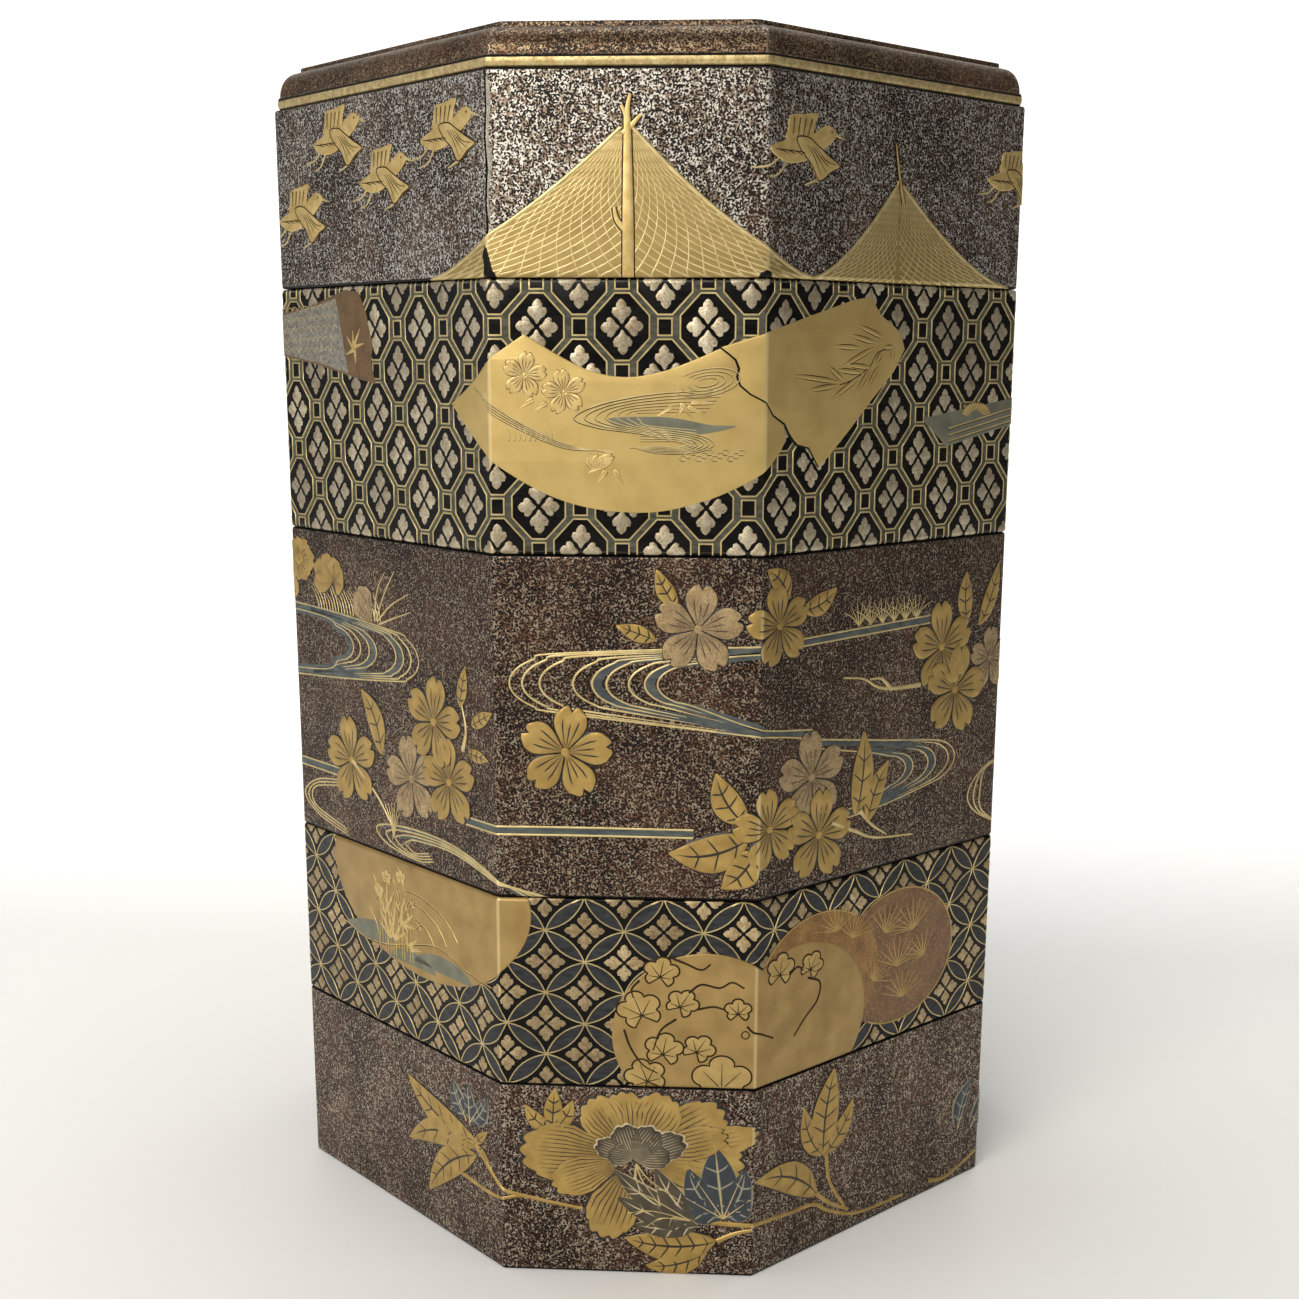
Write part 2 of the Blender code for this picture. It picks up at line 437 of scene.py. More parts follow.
class Relief:
    """Raised lacquer, drawn flat in millimetres as faces over u, v and h."""

    def __init__(self) -> None:
        """Starts with nothing drawn."""
        self.points: list[np.ndarray] = []
        self.faces: list[list[int]] = []
        self.marks: dict[Mark, list[np.ndarray]] = {Mark.LINE: [], Mark.TONE: []}
        self.count = 0

    def add(self, points: np.ndarray, faces: list, line: np.ndarray | float = 0.0,
            tone: float = 0.0) -> None:
        """Adds faces over their own points, turned so that they face out of the wall.

        Args:
            points: rows of u, v and h.
            faces: lists of row numbers.
            line: how much of an engraved line each point carries.
            tone: how dark the whole form is.
        """
        area = twice_area(points[faces[len(faces) // 2]])
        self.faces += [[self.count + i for i in (face if area > 0 else face[::-1])] for face in faces]
        self.points.append(points)
        self.marks[Mark.LINE].append(np.broadcast_to(line, len(points)))
        self.marks[Mark.TONE].append(np.broadcast_to(tone, len(points)))
        self.count += len(points)

    def grid(self, points: np.ndarray, line: np.ndarray | float = 0.0, tone: float = 0.0,
             closed: bool = False) -> None:
        """Adds a sheet of points, shaped (rows, columns, 3); closed joins the last row to the first."""
        rows, columns = points.shape[:2]
        last = rows if closed else rows - 1
        pairs = [(row * columns + column, (row + 1) % rows * columns + column)
                 for row in range(last) for column in range(columns - 1)]
        faces = [[low, low + 1, high + 1, high] for low, high in pairs]
        self.add(points.reshape(-1, 3), faces, np.ravel(line) if np.ndim(line) else line, tone)

    def plate(self, outline: np.ndarray, height: float, rim: float = 0.35, tone: float = 0.0,
              foot: float = -0.1) -> None:
        """Adds a flat-topped form with a rounded rim.

        Args:
            outline: its points, anticlockwise or not.
            height: how far its top stands out.
            rim: how wide its rounded edge is.
            tone: how dark it is.
            foot: where the rim starts, a little inside the lacquer.
        """
        inward = sideways(outline, True) * (1 if twice_area(outline) >= 0 else -1)
        rise = height - foot
        profile = ((0.0, foot), (0.12 * rim, foot + 0.7 * rise), (0.5 * rim, foot + 0.93 * rise),
                   (rim, height))
        bands = [raised(outline + inward * inset, h) for inset, h in profile]
        self.grid(np.stack(bands, 1), 0.0, tone, closed=True)
        top = bands[-1]
        triangles = tessellate_polygon([[Vector(point) for point in top]])
        self.add(top, [list(triangle) for triangle in triangles], 0.0, tone)

    def ribbon(self, path: np.ndarray, width: float, height: float, closed: bool = False, tone: float = 0.0,
               foot: float = -0.05) -> None:
        """Adds a raised line of one width along a path."""
        side = sideways(path, closed)
        profile = ((-0.5, foot), (-0.27, height), (0.27, height), (0.5, foot))
        bands = [raised(path + side * width * share, h) for share, h in profile]
        self.grid(np.stack(bands, 1), 0.0, tone, closed)

    def leaf(self, root: Point, tip: Point, width: float, bend: float = 0.0, veins: int = 4,
             height: float = 0.4, tone: float = 0.0, base: float = 0.0) -> None:
        """Adds a pointed leaf with an engraved midrib and side veins, its rows running along the veins.

        Args:
            root: where it grows from.
            tip: its point.
            width: how wide it is.
            bend: how far its midrib bows to the left, as a share of its length.
            veins: how many side veins each half has.
            height: how far it stands out.
            tone: how dark it is.
            base: the height of what lies under it.
        """
        start, end = np.array(root), np.array(tip)
        length = np.linalg.norm(end - start)
        gap = VEIN_HALF / length
        at = [(k + 0.7) / (veins + 1.2) for k in range(veins)]
        beside_vein = (-gap, 0.0, gap, 0.45 / (veins + 1))
        rows = sorted({0.0, 0.03, 0.1, 0.94, 1.0, *(v + d for v in at for d in beside_vein)})
        across = np.array([-1.0, -0.92, -0.85, -0.5, -0.09, 0.0, 0.09, 0.5, 0.85, 0.92, 1.0])
        share, side = np.meshgrid(np.array(rows), across, indexing="ij")
        place = share + 0.24 * np.abs(side) * (1 - share ** 2) * np.sqrt(share)
        bow = 4 * bend * length * place * (1 - place)
        half = width / 2 * np.sin(math.pi * np.clip(place, 0, 1) ** 0.85) ** 0.85
        flat = beside(start, end, place, bow + side * half)
        inside = (share < 0.93) & (share > 0.02)
        line = np.where((side == 0) & inside, 1.0, 0.0)
        for v in at:
            line = np.where(np.isclose(share, v) & (np.abs(side) < 0.85), 1.0, line)
        line = np.where(np.abs(side) > 0.9, 0.85, line)
        ends = np.clip(np.minimum(share, 1 - share) * 12, 0.0, 1.0)
        body = np.interp(np.abs(side), [0, 0.5, 0.85, 0.92, 1.0], [0.85, 1.0, 0.85, 0.6, 0.0]) * ends
        out = base + height * (body - 0.2 * line) - 0.06 * (body <= 0)
        self.grid(np.dstack([flat, out]), line, tone)

    def petal(self, root: Point, tip: Point, width: float, height: float = 0.4, lines: int = 3,
              notch: float = 0.12, waves: int = 0, ruffle: float = 0.0, neck: float = 0.15,
              belly: float = 0.7, reach: float = 0.68, tone: float = 0.0, base: float = 0.0,
              line_from: float = 0.12, strength: float = 1.0) -> None:
        """Adds a petal: narrow at its root, broad and notched or ruffled at its end, with engraved lines.

        Args:
            root: where it grows from.
            tip: the middle of its end.
            width: how wide it is.
            height: how far it stands out.
            lines: how many lines run along it.
            notch: the depth of the cleft at its end, as a share of its length.
            waves: how many ruffles its end has.
            ruffle: how deep they are, as a share of its length.
            neck: how wide its root is, as a share of the width.
            belly: where along it is widest.
            reach: how far the lines run.
            tone: how dark it is.
            base: the height of what lies under it.
            line_from: where the lines start.
            strength: how dark the lines are.
        """
        at = np.linspace(-1, 1, lines + 2)[1:-1] * (0.92 if lines > 3 else 0.9)
        gap = min(VEIN_HALF / (width / 2), 0.3 / (lines + 1))
        edges = {-1.0, -0.93, -0.86, 0.86, 0.93, 1.0, 0.0}
        across = np.array(sorted(edges | {c + d for c in at for d in (-gap, 0.0, gap)}
                                 | {c + 1 / (lines + 1) for c in at[:-1]}))
        rows = np.array([0.0, 0.05, line_from, 0.22, 0.35, 0.5, reach - 0.04, reach, 0.8, 0.925, 0.965, 1.0])
        share, side = np.meshgrid(rows, across, indexing="ij")
        reach_out = 1 - 0.26 * np.abs(side) ** 2.6 - notch * np.clip(1 - np.abs(side) / 0.24, 0, 1)
        reach_out += ruffle * (np.abs(np.cos(math.pi * waves * (side + 1) / 2)) - 0.6) if waves else 0.0
        grown = np.sin(math.pi / 2 * np.clip(share / belly, 0, 1)) ** 1.25
        beyond = np.clip((share - belly) / (1 - belly), 0, 1)
        half = width / 2 * (neck + (1 - neck) * grown) * (1 - 0.2 * beyond ** 2)
        if waves:
            half = half * (1 + 0.5 * ruffle * np.cos(2 * math.pi * waves * share))
        flat = beside(np.array(root), np.array(tip), share * reach_out, side * half)
        line = np.zeros_like(share)
        for c in at:
            run = np.interp(share, [line_from - 0.01, line_from, reach * 0.8, reach], [0, 1, 1, 0])
            line = np.where(np.isclose(side, c), run * strength, line)
        rim = np.maximum(np.abs(side) > 0.92, share > 0.96) * (share > 0.04)
        line = np.maximum(line, rim * min(1.0, strength + 0.3))
        sides = np.interp(np.abs(side), [0, 0.86, 0.93, 1.0], [0.9, 1.0, 0.7, 0.0])
        ends = np.interp(share, [0.0, 0.05, 0.5, 0.925, 0.965, 1.0], [0.0, 0.5, 0.8, 1.0, 0.7, 0.0])
        body = sides * ends
        out = base + height * (body - 0.18 * line) - 0.06 * (body <= 0)
        # Painted shade: each petal darker towards its root, where the petals meet
        shadow = tone + np.interp(share, [0.0, 0.2, 0.6], [1.1, 0.7, 0.0])
        self.grid(np.dstack([flat, out]), line, np.ravel(shadow))

    def blossom(self, centre: Point, radius: float, turn: float = 90.0, height: float = 0.42,
                tone: float = 0.0, base: float = 0.0, strength: float = 1.0) -> None:
        """Adds a cherry blossom: five notched petals round a small raised eye.

        Args:
            centre: its middle.
            radius: its reach.
            turn: the direction of its first petal, in degrees.
            height: how far it stands out.
            tone: how dark it is.
            base: the height of what lies under it.
            strength: how dark its lines are.
        """
        for k in range(5):
            root, tip = (around(centre, turn + 72 * k, far, far) for far in (radius * 0.06, radius))
            self.petal(root, tip, radius * 0.74, height + 0.05 * (k % 2), tone=tone + 0.12 * (k % 3),
                       base=base, strength=strength, notch=0.15, neck=0.12, belly=0.74)
        self.plate(oval_path(centre, radius * 0.09, radius * 0.09, step=0.8), base + height * 0.8, 0.3, tone)

    def mesh(self, name: str) -> bpy.types.Mesh:
        """What was drawn, as a flat mesh with its marks."""
        mesh = bpy.data.meshes.new(name)
        mesh.from_pydata(np.vstack(self.points).tolist(), [], self.faces)
        mesh.polygons.foreach_set("use_smooth", [len(face) < 5 for face in self.faces])
        for mark, values in self.marks.items():
            set_mark(mesh, mark, np.concatenate(values))
        return mesh


class Tree:
    """A geometry node tree with named inputs, run on a mesh or a curve to get a plain mesh."""

    def __init__(self, name: str, inputs: dict[str, str]) -> None:
        """Starts a tree.

        Args:
            name: what the tree makes.
            inputs: the kind of each named input after the geometry, such as "Float".
        """
        self.tree = bpy.data.node_groups.new(name, "GeometryNodeTree")
        panel = self.tree.interface
        self.sockets = {}
        for key, kind in {"Geometry": "Geometry", **inputs}.items():
            socket = panel.new_socket(key, in_out="INPUT", socket_type=f"NodeSocket{kind}")
            self.sockets[key] = socket.identifier
        panel.new_socket("Geometry", in_out="OUTPUT", socket_type="NodeSocketGeometry")
        self.given = self.tree.nodes.new("NodeGroupInput").outputs

    def node(self, kind: str, inputs: dict | None = None,
             **settings: object) -> bpy.types.bpy_prop_collection:
        """Adds a node and returns its outputs."""
        return add_node(self.tree, kind, inputs, **settings).outputs

    def end(self, geometry: bpy.types.NodeSocket) -> None:
        """Ends the tree: instances become real and the whole takes the finish."""
        real = self.node("GeometryNodeRealizeInstances", {0: geometry})
        dressed = self.node("GeometryNodeSetMaterial", {0: real[0], "Material": self.given["Finish"]})
        add_node(self.tree, "NodeGroupOutput", {0: dressed[0]})

    def run(self, name: str, source: bpy.types.ID, values: dict[str, object]) -> bpy.types.Mesh:
        """Runs the tree.

        Args:
            name: the new mesh's name.
            source: the mesh or curve that the tree works on, removed afterwards.
            values: a value for each named input.

        Returns:
            The plain mesh.
        """
        holder = show(f"{name}_source", source)
        modifier = holder.modifiers.new(self.tree.name, "NODES")
        modifier.node_group = self.tree
        for key, value in values.items():
            modifier[self.sockets[key]] = value
        evaluated = holder.evaluated_get(bpy.context.evaluated_depsgraph_get())
        mesh = bpy.data.meshes.new_from_object(evaluated)
        mesh.name = name
        bpy.data.objects.remove(holder, do_unlink=True)
        return mesh


@cache
def raised_line_tree() -> Tree:
    """A tree that lays a flattened half-round line along each path, as wide as the path's radius says."""
    made = Tree("raised_line", {"Flatness": "Float", "Facets": "Int", "Finish": "Material"})
    path = made.node("GeometryNodeSetCurveNormal", {0: made.given["Geometry"]}, mode="Z_UP")
    half = made.node("GeometryNodeCurveArc", {"Resolution": made.given["Facets"], "Radius": 1.0,
                                              "Start Angle": math.pi, "Sweep Angle": math.pi}, mode="RADIUS")
    scale = made.node("ShaderNodeCombineXYZ", {"X": 1.0, "Y": made.given["Flatness"], "Z": 1.0})
    low = made.node("GeometryNodeTransform", {0: half[0], "Scale": scale[0]})
    radius = made.node("GeometryNodeInputRadius")
    line = made.node("GeometryNodeCurveToMesh", {0: path[0], "Profile Curve": low[0], "Scale": radius[0]})
    made.end(line[0])
    return made


@cache
def repeat_tree() -> Tree:
    """A tree that repeats a form in staggered rows, each copy a little turned and toned by chance."""
    made = Tree("repeat", {"Pitch": "Float", "Row step": "Float", "Columns": "Int", "Rows": "Int",
                           "Start": "Vector", "Turn": "Float", "Seed": "Int", "Finish": "Material"})

    given = made.given
    wide = maths(made.tree, "MULTIPLY", given["Pitch"], maths(made.tree, "SUBTRACT", given["Columns"], 1.0))
    tall = maths(made.tree, "MULTIPLY", given["Row step"], maths(made.tree, "SUBTRACT", given["Rows"], 1.0))
    grid = made.node("GeometryNodeMeshGrid", {"Size X": wide, "Size Y": tall, "Vertices X": given["Columns"],
                                              "Vertices Y": given["Rows"]})
    row = maths(made.tree, "MODULO", made.node("GeometryNodeInputIndex")[0], given["Rows"])
    half_pitch = maths(made.tree, "MULTIPLY", given["Pitch"], 0.5)
    odd = maths(made.tree, "MODULO", row, 2.0)
    shift = made.node("ShaderNodeCombineXYZ", {"X": maths(made.tree, "MULTIPLY", odd, half_pitch)})
    corner = made.node("ShaderNodeCombineXYZ", {"X": maths(made.tree, "MULTIPLY", wide, 0.5),
                                                "Y": maths(made.tree, "MULTIPLY", tall, 0.5)})
    start = made.node("ShaderNodeVectorMath", {0: corner[0], 1: given["Start"]}, operation="ADD")
    move = made.node("ShaderNodeVectorMath", {0: shift[0], 1: start[0]}, operation="ADD")
    places = made.node("GeometryNodeSetPosition", {0: grid[0], "Offset": move[0]})
    least = maths(made.tree, "MULTIPLY", given["Turn"], -1.0)
    chance = made.node("FunctionNodeRandomValue", {2: least, 3: given["Turn"], "Seed": given["Seed"]},
                       data_type="FLOAT")
    turn = made.node("ShaderNodeCombineXYZ", {"Z": chance[1]})
    copies = made.node("GeometryNodeInstanceOnPoints", {0: places[0], "Instance": given["Geometry"],
                                                        "Rotation": turn[0]})
    tone_seed = maths(made.tree, "ADD", given["Seed"], 7.0)
    tone = made.node("FunctionNodeRandomValue", {2: 0.0, 3: 1.0, "Seed": tone_seed}, data_type="FLOAT")
    toned = made.node("GeometryNodeStoreNamedAttribute",
                      {0: copies[0], "Name": Mark.TONE.value, "Value": tone[1]},
                      data_type="FLOAT", domain="INSTANCE")
    made.end(toned[0])
    return made


class Lines:
    """Drawn lines of lacquer, each a path with a radius at every point."""

    def __init__(self, height: float = 0.0) -> None:
        """Starts with no line; height is where the lines' underside lies."""
        self.height = height
        self.paths: list[tuple[np.ndarray, np.ndarray]] = []

    def add(self, path: np.ndarray, radius: float | Sequence[float], closed: bool = False) -> None:
        """Adds a line, its radius even or running through the values given."""
        if closed:
            path = np.vstack([path, path[:1]])
        values = np.atleast_1d(np.array(radius, float))
        shares, given = np.linspace(0, 1, len(path)), np.linspace(0, 1, len(values))
        self.paths.append((path, np.interp(shares, given, values)))

    def stroke(self, places: Sequence[Point], radius: float | Sequence[float], step: float = 1.5,
               closed: bool = False) -> None:
        """Adds a smooth line through a few places."""
        self.add(smooth_path(places, step, closed), radius, closed)

    def mesh(self, name: str, finish: bpy.types.Material, flatness: float = 0.5,
             facets: int = 4) -> bpy.types.Mesh:
        """The lines as one flat mesh.

        Args:
            name: the mesh's name.
            finish: its material.
            flatness: how high a line stands, as a share of its radius.
            facets: how many points its half-round has.

        Returns:
            The mesh, not yet laid on a wall.
        """
        curve = bpy.data.curves.new(name, "CURVE")
        curve.dimensions = "3D"
        for path, radii in self.paths:
            spline = curve.splines.new("POLY")
            spline.points.add(len(path) - 1)
            weighted = np.column_stack([raised(path, self.height), np.ones(len(path))])
            spline.points.foreach_set("co", weighted.ravel())
            spline.points.foreach_set("radius", radii)
        values = {"Flatness": flatness, "Facets": facets, "Finish": finish}
        mesh = raised_line_tree().run(name, curve, values)
        mesh.shade_smooth()
        return mesh


@dataclass(frozen=True)
class Finish:
    """What every finish has: a name for the material as a maker would say it."""

    name: str

    def material(self) -> bpy.types.Material:
        """This finish's material, made once."""
        found = bpy.data.materials.get(self.name)
        if found:
            return found
        material = bpy.data.materials.new(self.name)
        material.use_nodes = True
        tree = material.node_tree
        tree.nodes.clear()
        shader = add_node(tree, "ShaderNodeBsdfPrincipled")
        add_node(tree, "ShaderNodeOutputMaterial", {"Surface": shader.outputs[0]})
        self.shade(tree, shader)
        return material

    def shade(self, tree: bpy.types.NodeTree, shader: bpy.types.Node) -> None:
        """Sets the shader's values and adds the nodes that feed it."""
        raise NotImplementedError


def noise(tree: bpy.types.NodeTree, size: float, detail: float = 3.0, offset: float = 0.0,
          stretch: Sequence[float] = (1.0, 1.0, 1.0)) -> bpy.types.NodeSocket:
    """A cloudy pattern over the object.

    Args:
        tree: the material's tree.
        size: about how large its features are, in millimetres.
        detail: how many finer layers it has.
        offset: moves the pattern, so that two don't match.
        stretch: how many times longer its features are along x, y and z.

    Returns:
        The socket of its value.
    """
    place = add_node(tree, "ShaderNodeTexCoord").outputs["Object"]
    scale = [1 / (size * MM * factor) for factor in stretch]
    moved = add_node(tree, "ShaderNodeMapping", {"Vector": place, "Scale": scale, "Location": (offset,) * 3})
    inputs = {"Vector": moved.outputs[0], "Scale": 1.0, "Detail": detail}
    return add_node(tree, "ShaderNodeTexNoise", inputs).outputs[0]


def maths(tree: bpy.types.NodeTree, operation: str, *values: object) -> bpy.types.NodeSocket:
    """One step of arithmetic on numbers or sockets."""
    return add_node(tree, "ShaderNodeMath", dict(enumerate(values)), operation=operation).outputs[0]


def mark_value(tree: bpy.types.NodeTree, mark: Mark) -> bpy.types.NodeSocket:
    """The value that the mesh carries for this mark."""
    return add_node(tree, "ShaderNodeAttribute", attribute_name=mark.value).outputs["Fac"]


def mixed(tree: bpy.types.NodeTree, share: object, first: object, second: object) -> bpy.types.NodeSocket:
    """A mix of two colours, given as hex colours or sockets."""
    colours = [linear(colour) if isinstance(colour, str) else colour for colour in (first, second)]
    return add_node(tree, "ShaderNodeMix", {0: share, 6: colours[0], 7: colours[1]},
                    data_type="RGBA").outputs[2]


def ramped(tree: bpy.types.NodeTree, value: bpy.types.NodeSocket, low: float, high: float,
           start: float = 0.0, end: float = 1.0) -> bpy.types.NodeSocket:
    """A value spread from one range to another and kept within it."""
    return add_node(tree, "ShaderNodeMapRange", {0: value, 1: low, 2: high, 3: start, 4: end}).outputs[0]


@dataclass(frozen=True)
class SprinkledLacquer(Finish):
    """Clear brown lacquer over sprinkled gold flakes: a dark ground full of pale specks, cloudy where thick.

    The flakes are drawn coarser than real ones, which would be too fine to show.
    """

    ground: str = "#17100E"
    flake: str = "#B4A78F"
    warm_flake: str = "#7B604A"
    cloud: str = "#33211A"
    worn: str = "#C6C0B2"
    flake_size: float = 0.62
    cover: float = 0.52
    wear_depth: float = 0.02
    roughness: float = 0.36
    cover_swing: float = 0.035
    worn_share: float = 10.0
    shine: float = 0.75

    def shade(self, tree: bpy.types.NodeTree, shader: bpy.types.Node) -> None:
        """Sets flakes of two golds in a ground with reddish clouds, paler and closer at worn edges."""
        cloud = noise(tree, 16.0, 3.0, 4.0, (1.0, 1.0, 1.8))
        wear = ramped(tree, mark_value(tree, Mark.WEAR_AND_HIGHLIGHT), 0.5, 1.0)
        thin = ramped(tree, cloud, 0.3, 0.7, self.cover + self.cover_swing, self.cover - self.cover_swing)
        limit = maths(tree, "MULTIPLY_ADD", wear, -self.wear_depth, thin)
        grain = noise(tree, self.flake_size, 1.5, 1.0)
        seen = ramped(tree, maths(tree, "SUBTRACT", grain, limit), -0.012, 0.03)
        gold = mixed(tree, ramped(tree, noise(tree, 1.5, 2.0, 7.0), 0.42, 0.58), self.flake, self.warm_flake)
        gold = mixed(tree, ramped(tree, wear, 0.0, 1.0, 0.0, self.worn_share * self.wear_depth), gold,
                     self.worn)
        ground = mixed(tree, ramped(tree, noise(tree, 26.0, 2.0, 9.0), 0.45, 0.7), self.ground, self.cloud)
        tree.links.new(mixed(tree, seen, ground, gold), shader.inputs["Base Color"])
        tree.links.new(ramped(tree, seen, 0.0, 1.0, 0.0, self.shine), shader.inputs["Metallic"])
        shader.inputs["Roughness"].default_value = self.roughness
        shader.inputs["Specular IOR Level"].default_value = 0.15


@dataclass(frozen=True)
class PlainLacquer(Finish):
    """Polished coloured lacquer without gold: deep, even and glossy, with faint streaks of the brush."""

    colour: str = "#0B0A0A"
    streak: str = "#1A1817"
    streak_size: float = 6.0
    roughness: float = 0.22

    def shade(self, tree: bpy.types.NodeTree, shader: bpy.types.Node) -> None:
        """Sets two close tones and a roughness that wavers a little."""
        streaks = noise(tree, self.streak_size, 3.0, 2.0, (1.0, 1.0, 0.35))
        colour = mixed(tree, ramped(tree, streaks, 0.35, 0.7), self.colour, self.streak)
        tree.links.new(colour, shader.inputs["Base Color"])
        rough = ramped(tree, streaks, 0.3, 0.7, self.roughness, self.roughness + 0.1)
        tree.links.new(rough, shader.inputs["Roughness"])
        shader.inputs["Specular IOR Level"].default_value = 0.12


@dataclass(frozen=True)
class GoldLacquer(Finish):
    """Gold powder on raised lacquer, burnished: a soft metal shine, mottled where the powder is thin.

    The powder's grain is drawn coarser than the real one, which would be too fine to show.
    """

    bright: str = "#BE9F5C"
    dull: str = "#987B40"
    line: str = "#1A120A"
    mottle: float = 5.0
    grain: float = 0.7
    tone_depth: float = 0.35
    metallic: float = 0.65
    roughness: float = 0.4
    speckle: float = 0.0
    # Painted highlight: the paler gold laid near the wall's corners, where a rounded corner would catch the
    # light, and how much of it shows
    corner_highlight: str = "#E8D6A2"
    corner_highlight_share: float = 0.55

    def shade(self, tree: bpy.types.NodeTree, shader: bpy.types.Node) -> None:
        """Sets cloudy gold, darker by its tone, with a painted highlight near the wall's corners, engraved
        lines and a fine grain.
        """
        cloud = noise(tree, self.mottle, 4.0, 3.0)
        grain = noise(tree, self.grain, 2.0, 6.0)
        colour = mixed(tree, ramped(tree, cloud, 0.3, 0.8), self.bright, self.dull)
        if self.speckle:
            spots = ramped(tree, grain, 0.5, 0.66, 0.0, self.speckle)
            colour = mixed(tree, spots, colour, self.line)
        tone = maths(tree, "MULTIPLY", mark_value(tree, Mark.TONE), self.tone_depth)
        colour = mixed(tree, tone, colour, self.line)
        # Painted highlight: paler gold near the wall's corners, in place of the light that a rounded corner
        # catches
        painted_highlight = ramped(tree, mark_value(tree, Mark.WEAR_AND_HIGHLIGHT), 0.0, 1.0, 0.0, self.corner_highlight_share)
        colour = mixed(tree, painted_highlight, colour, self.corner_highlight)
        line = ramped(tree, mark_value(tree, Mark.LINE), 0.08, 0.45)
        colour = mixed(tree, line, colour, self.line)
        tree.links.new(colour, shader.inputs["Base Color"])
        tree.links.new(ramped(tree, line, 0.0, 1.0, self.metallic, 0.0), shader.inputs["Metallic"])
        rough = ramped(tree, grain, 0.3, 0.7, self.roughness - 0.06, self.roughness + 0.1)
        tree.links.new(rough, shader.inputs["Roughness"])
        bump = add_node(tree, "ShaderNodeBump", {"Height": grain, "Strength": 0.25, "Distance": 0.05 * MM})
        tree.links.new(bump.outputs[0], shader.inputs["Normal"])


NASHIJI = SprinkledLacquer("sprinkled_gold_flake_lacquer")
BROWN_NASHIJI = replace(NASHIJI, name="brown_flake_lacquer", ground="#231811", flake="#9A876B",
                        warm_flake="#765A42", cloud="#4A3122", flake_size=0.52)
PALE_NASHIJI = replace(NASHIJI, name="pale_gold_flake_lacquer", flake="#D0CBC0", warm_flake="#82705F",
                       cover=0.51)
DARK_NASHIJI = replace(NASHIJI, name="dark_gold_flake_lacquer", flake="#9C8D78", warm_flake="#6B4F3D",
                       cover=0.53, wear_depth=0.006)
SOFT_NASHIJI = replace(DARK_NASHIJI, name="cloudy_gold_flake_lacquer", flake="#AEA08D", cover=0.515)
BLACK = PlainLacquer("polished_black_lacquer", "#080706", "#12100E")
INSIDE = PlainLacquer("plain_black_lacquer_inside", "#100E0D", "#1C1917", 12.0, 0.3)
BAND = PlainLacquer("grey_green_lacquer_band", "#3C3D35", "#5F5E50", 3.0, 0.38)
SHIPPO_GREY = PlainLacquer("slate_grey_lacquer", "#2A2B2D", "#3F4042", 4.0, 0.34)
STREAM_GREY = PlainLacquer("blue_grey_lacquer", "#454A4C", "#5F655F", 5.0, 0.3)
BRIGHT_GOLD = GoldLacquer("burnished_gold_lacquer")
FLOWER_GOLD = GoldLacquer("sprinkled_pale_gold_lacquer", "#DFD5BA", "#A8926E", "#4A3A28", 2.0, 0.5, 0.45,
                          0.7, 0.42, 0.55)
WARM_FLOWER_GOLD = replace(FLOWER_GOLD, name="sprinkled_warm_gold_lacquer", bright="#D2BE94", dull="#96784C")
FAN_GOLD = GoldLacquer("brushed_gold_foil_ground", "#C9AE6E", "#B59A5B", "#1A120A", 9.0, 0.45, 0.3)
ROUNDEL_GOLD = GoldLacquer("dull_gold_roundel", "#AE915A", "#8E7341", "#1A120A", 9.0, 0.45, 0.3)
REDDISH_GOLD = GoldLacquer("reddish_sprinkled_gold", "#86613C", "#63432A", "#A09474", 6.0, 0.8, 0.3, 0.45,
                           0.45, 0.55)
DULL_GOLD = GoldLacquer("brown_sprinkled_gold", "#A8814C", "#7E5B34", "#3A2818", 5.0, 0.6, 0.3, 0.6, 0.45,
                        0.5)
BROWN_GOLD = GoldLacquer("dark_brown_gold", "#7F6443", "#5B4630", "#2A1A10", 6.0, 0.6, 0.3, 0.5, 0.45, 0.4)
SLIP_GREY = GoldLacquer("grey_green_silver_lacquer", "#7C7C68", "#5E5F50", "#2A2620", 6.0, 0.5, 0.3, 0.35,
                        0.42)
# Dark lacquer for dark lines and the poles' shade, and for the painted shadow under raised drawn lines
DARK_LINE_AND_SHADE = PlainLacquer("dark_line_and_painted_shade", "#2A1D10", "#3A2A18", 2.0, 0.5)
NET_GOLD = GoldLacquer("smooth_net_gold", "#A78F58", "#957D49", "#2A1E12", 3.0, 0.6, 0.3)
PALE_GOLD = GoldLacquer("pale_bird_gold", "#DAC084", "#B5954F", "#4A3418", 3.0, 0.6, 0.2)
FADED_GOLD = GoldLacquer("thin_reddish_gold", "#BBA276", "#8A7050", "#1E140C", 3.0, 0.6, 0.3, 0.5, 0.45,
                         0.45)
HEART_GOLD = GoldLacquer("striated_dark_heart", "#5E5545", "#40382D", "#C0B08C", 4.0, 0.6, 0.3, 0.5, 0.4)
SILVER_GREY = GoldLacquer("blue_grey_silver_lacquer", "#3F454B", "#2F3338", "#8E8B78", 4.0, 0.6, 0.3, 0.35,
                          0.4)
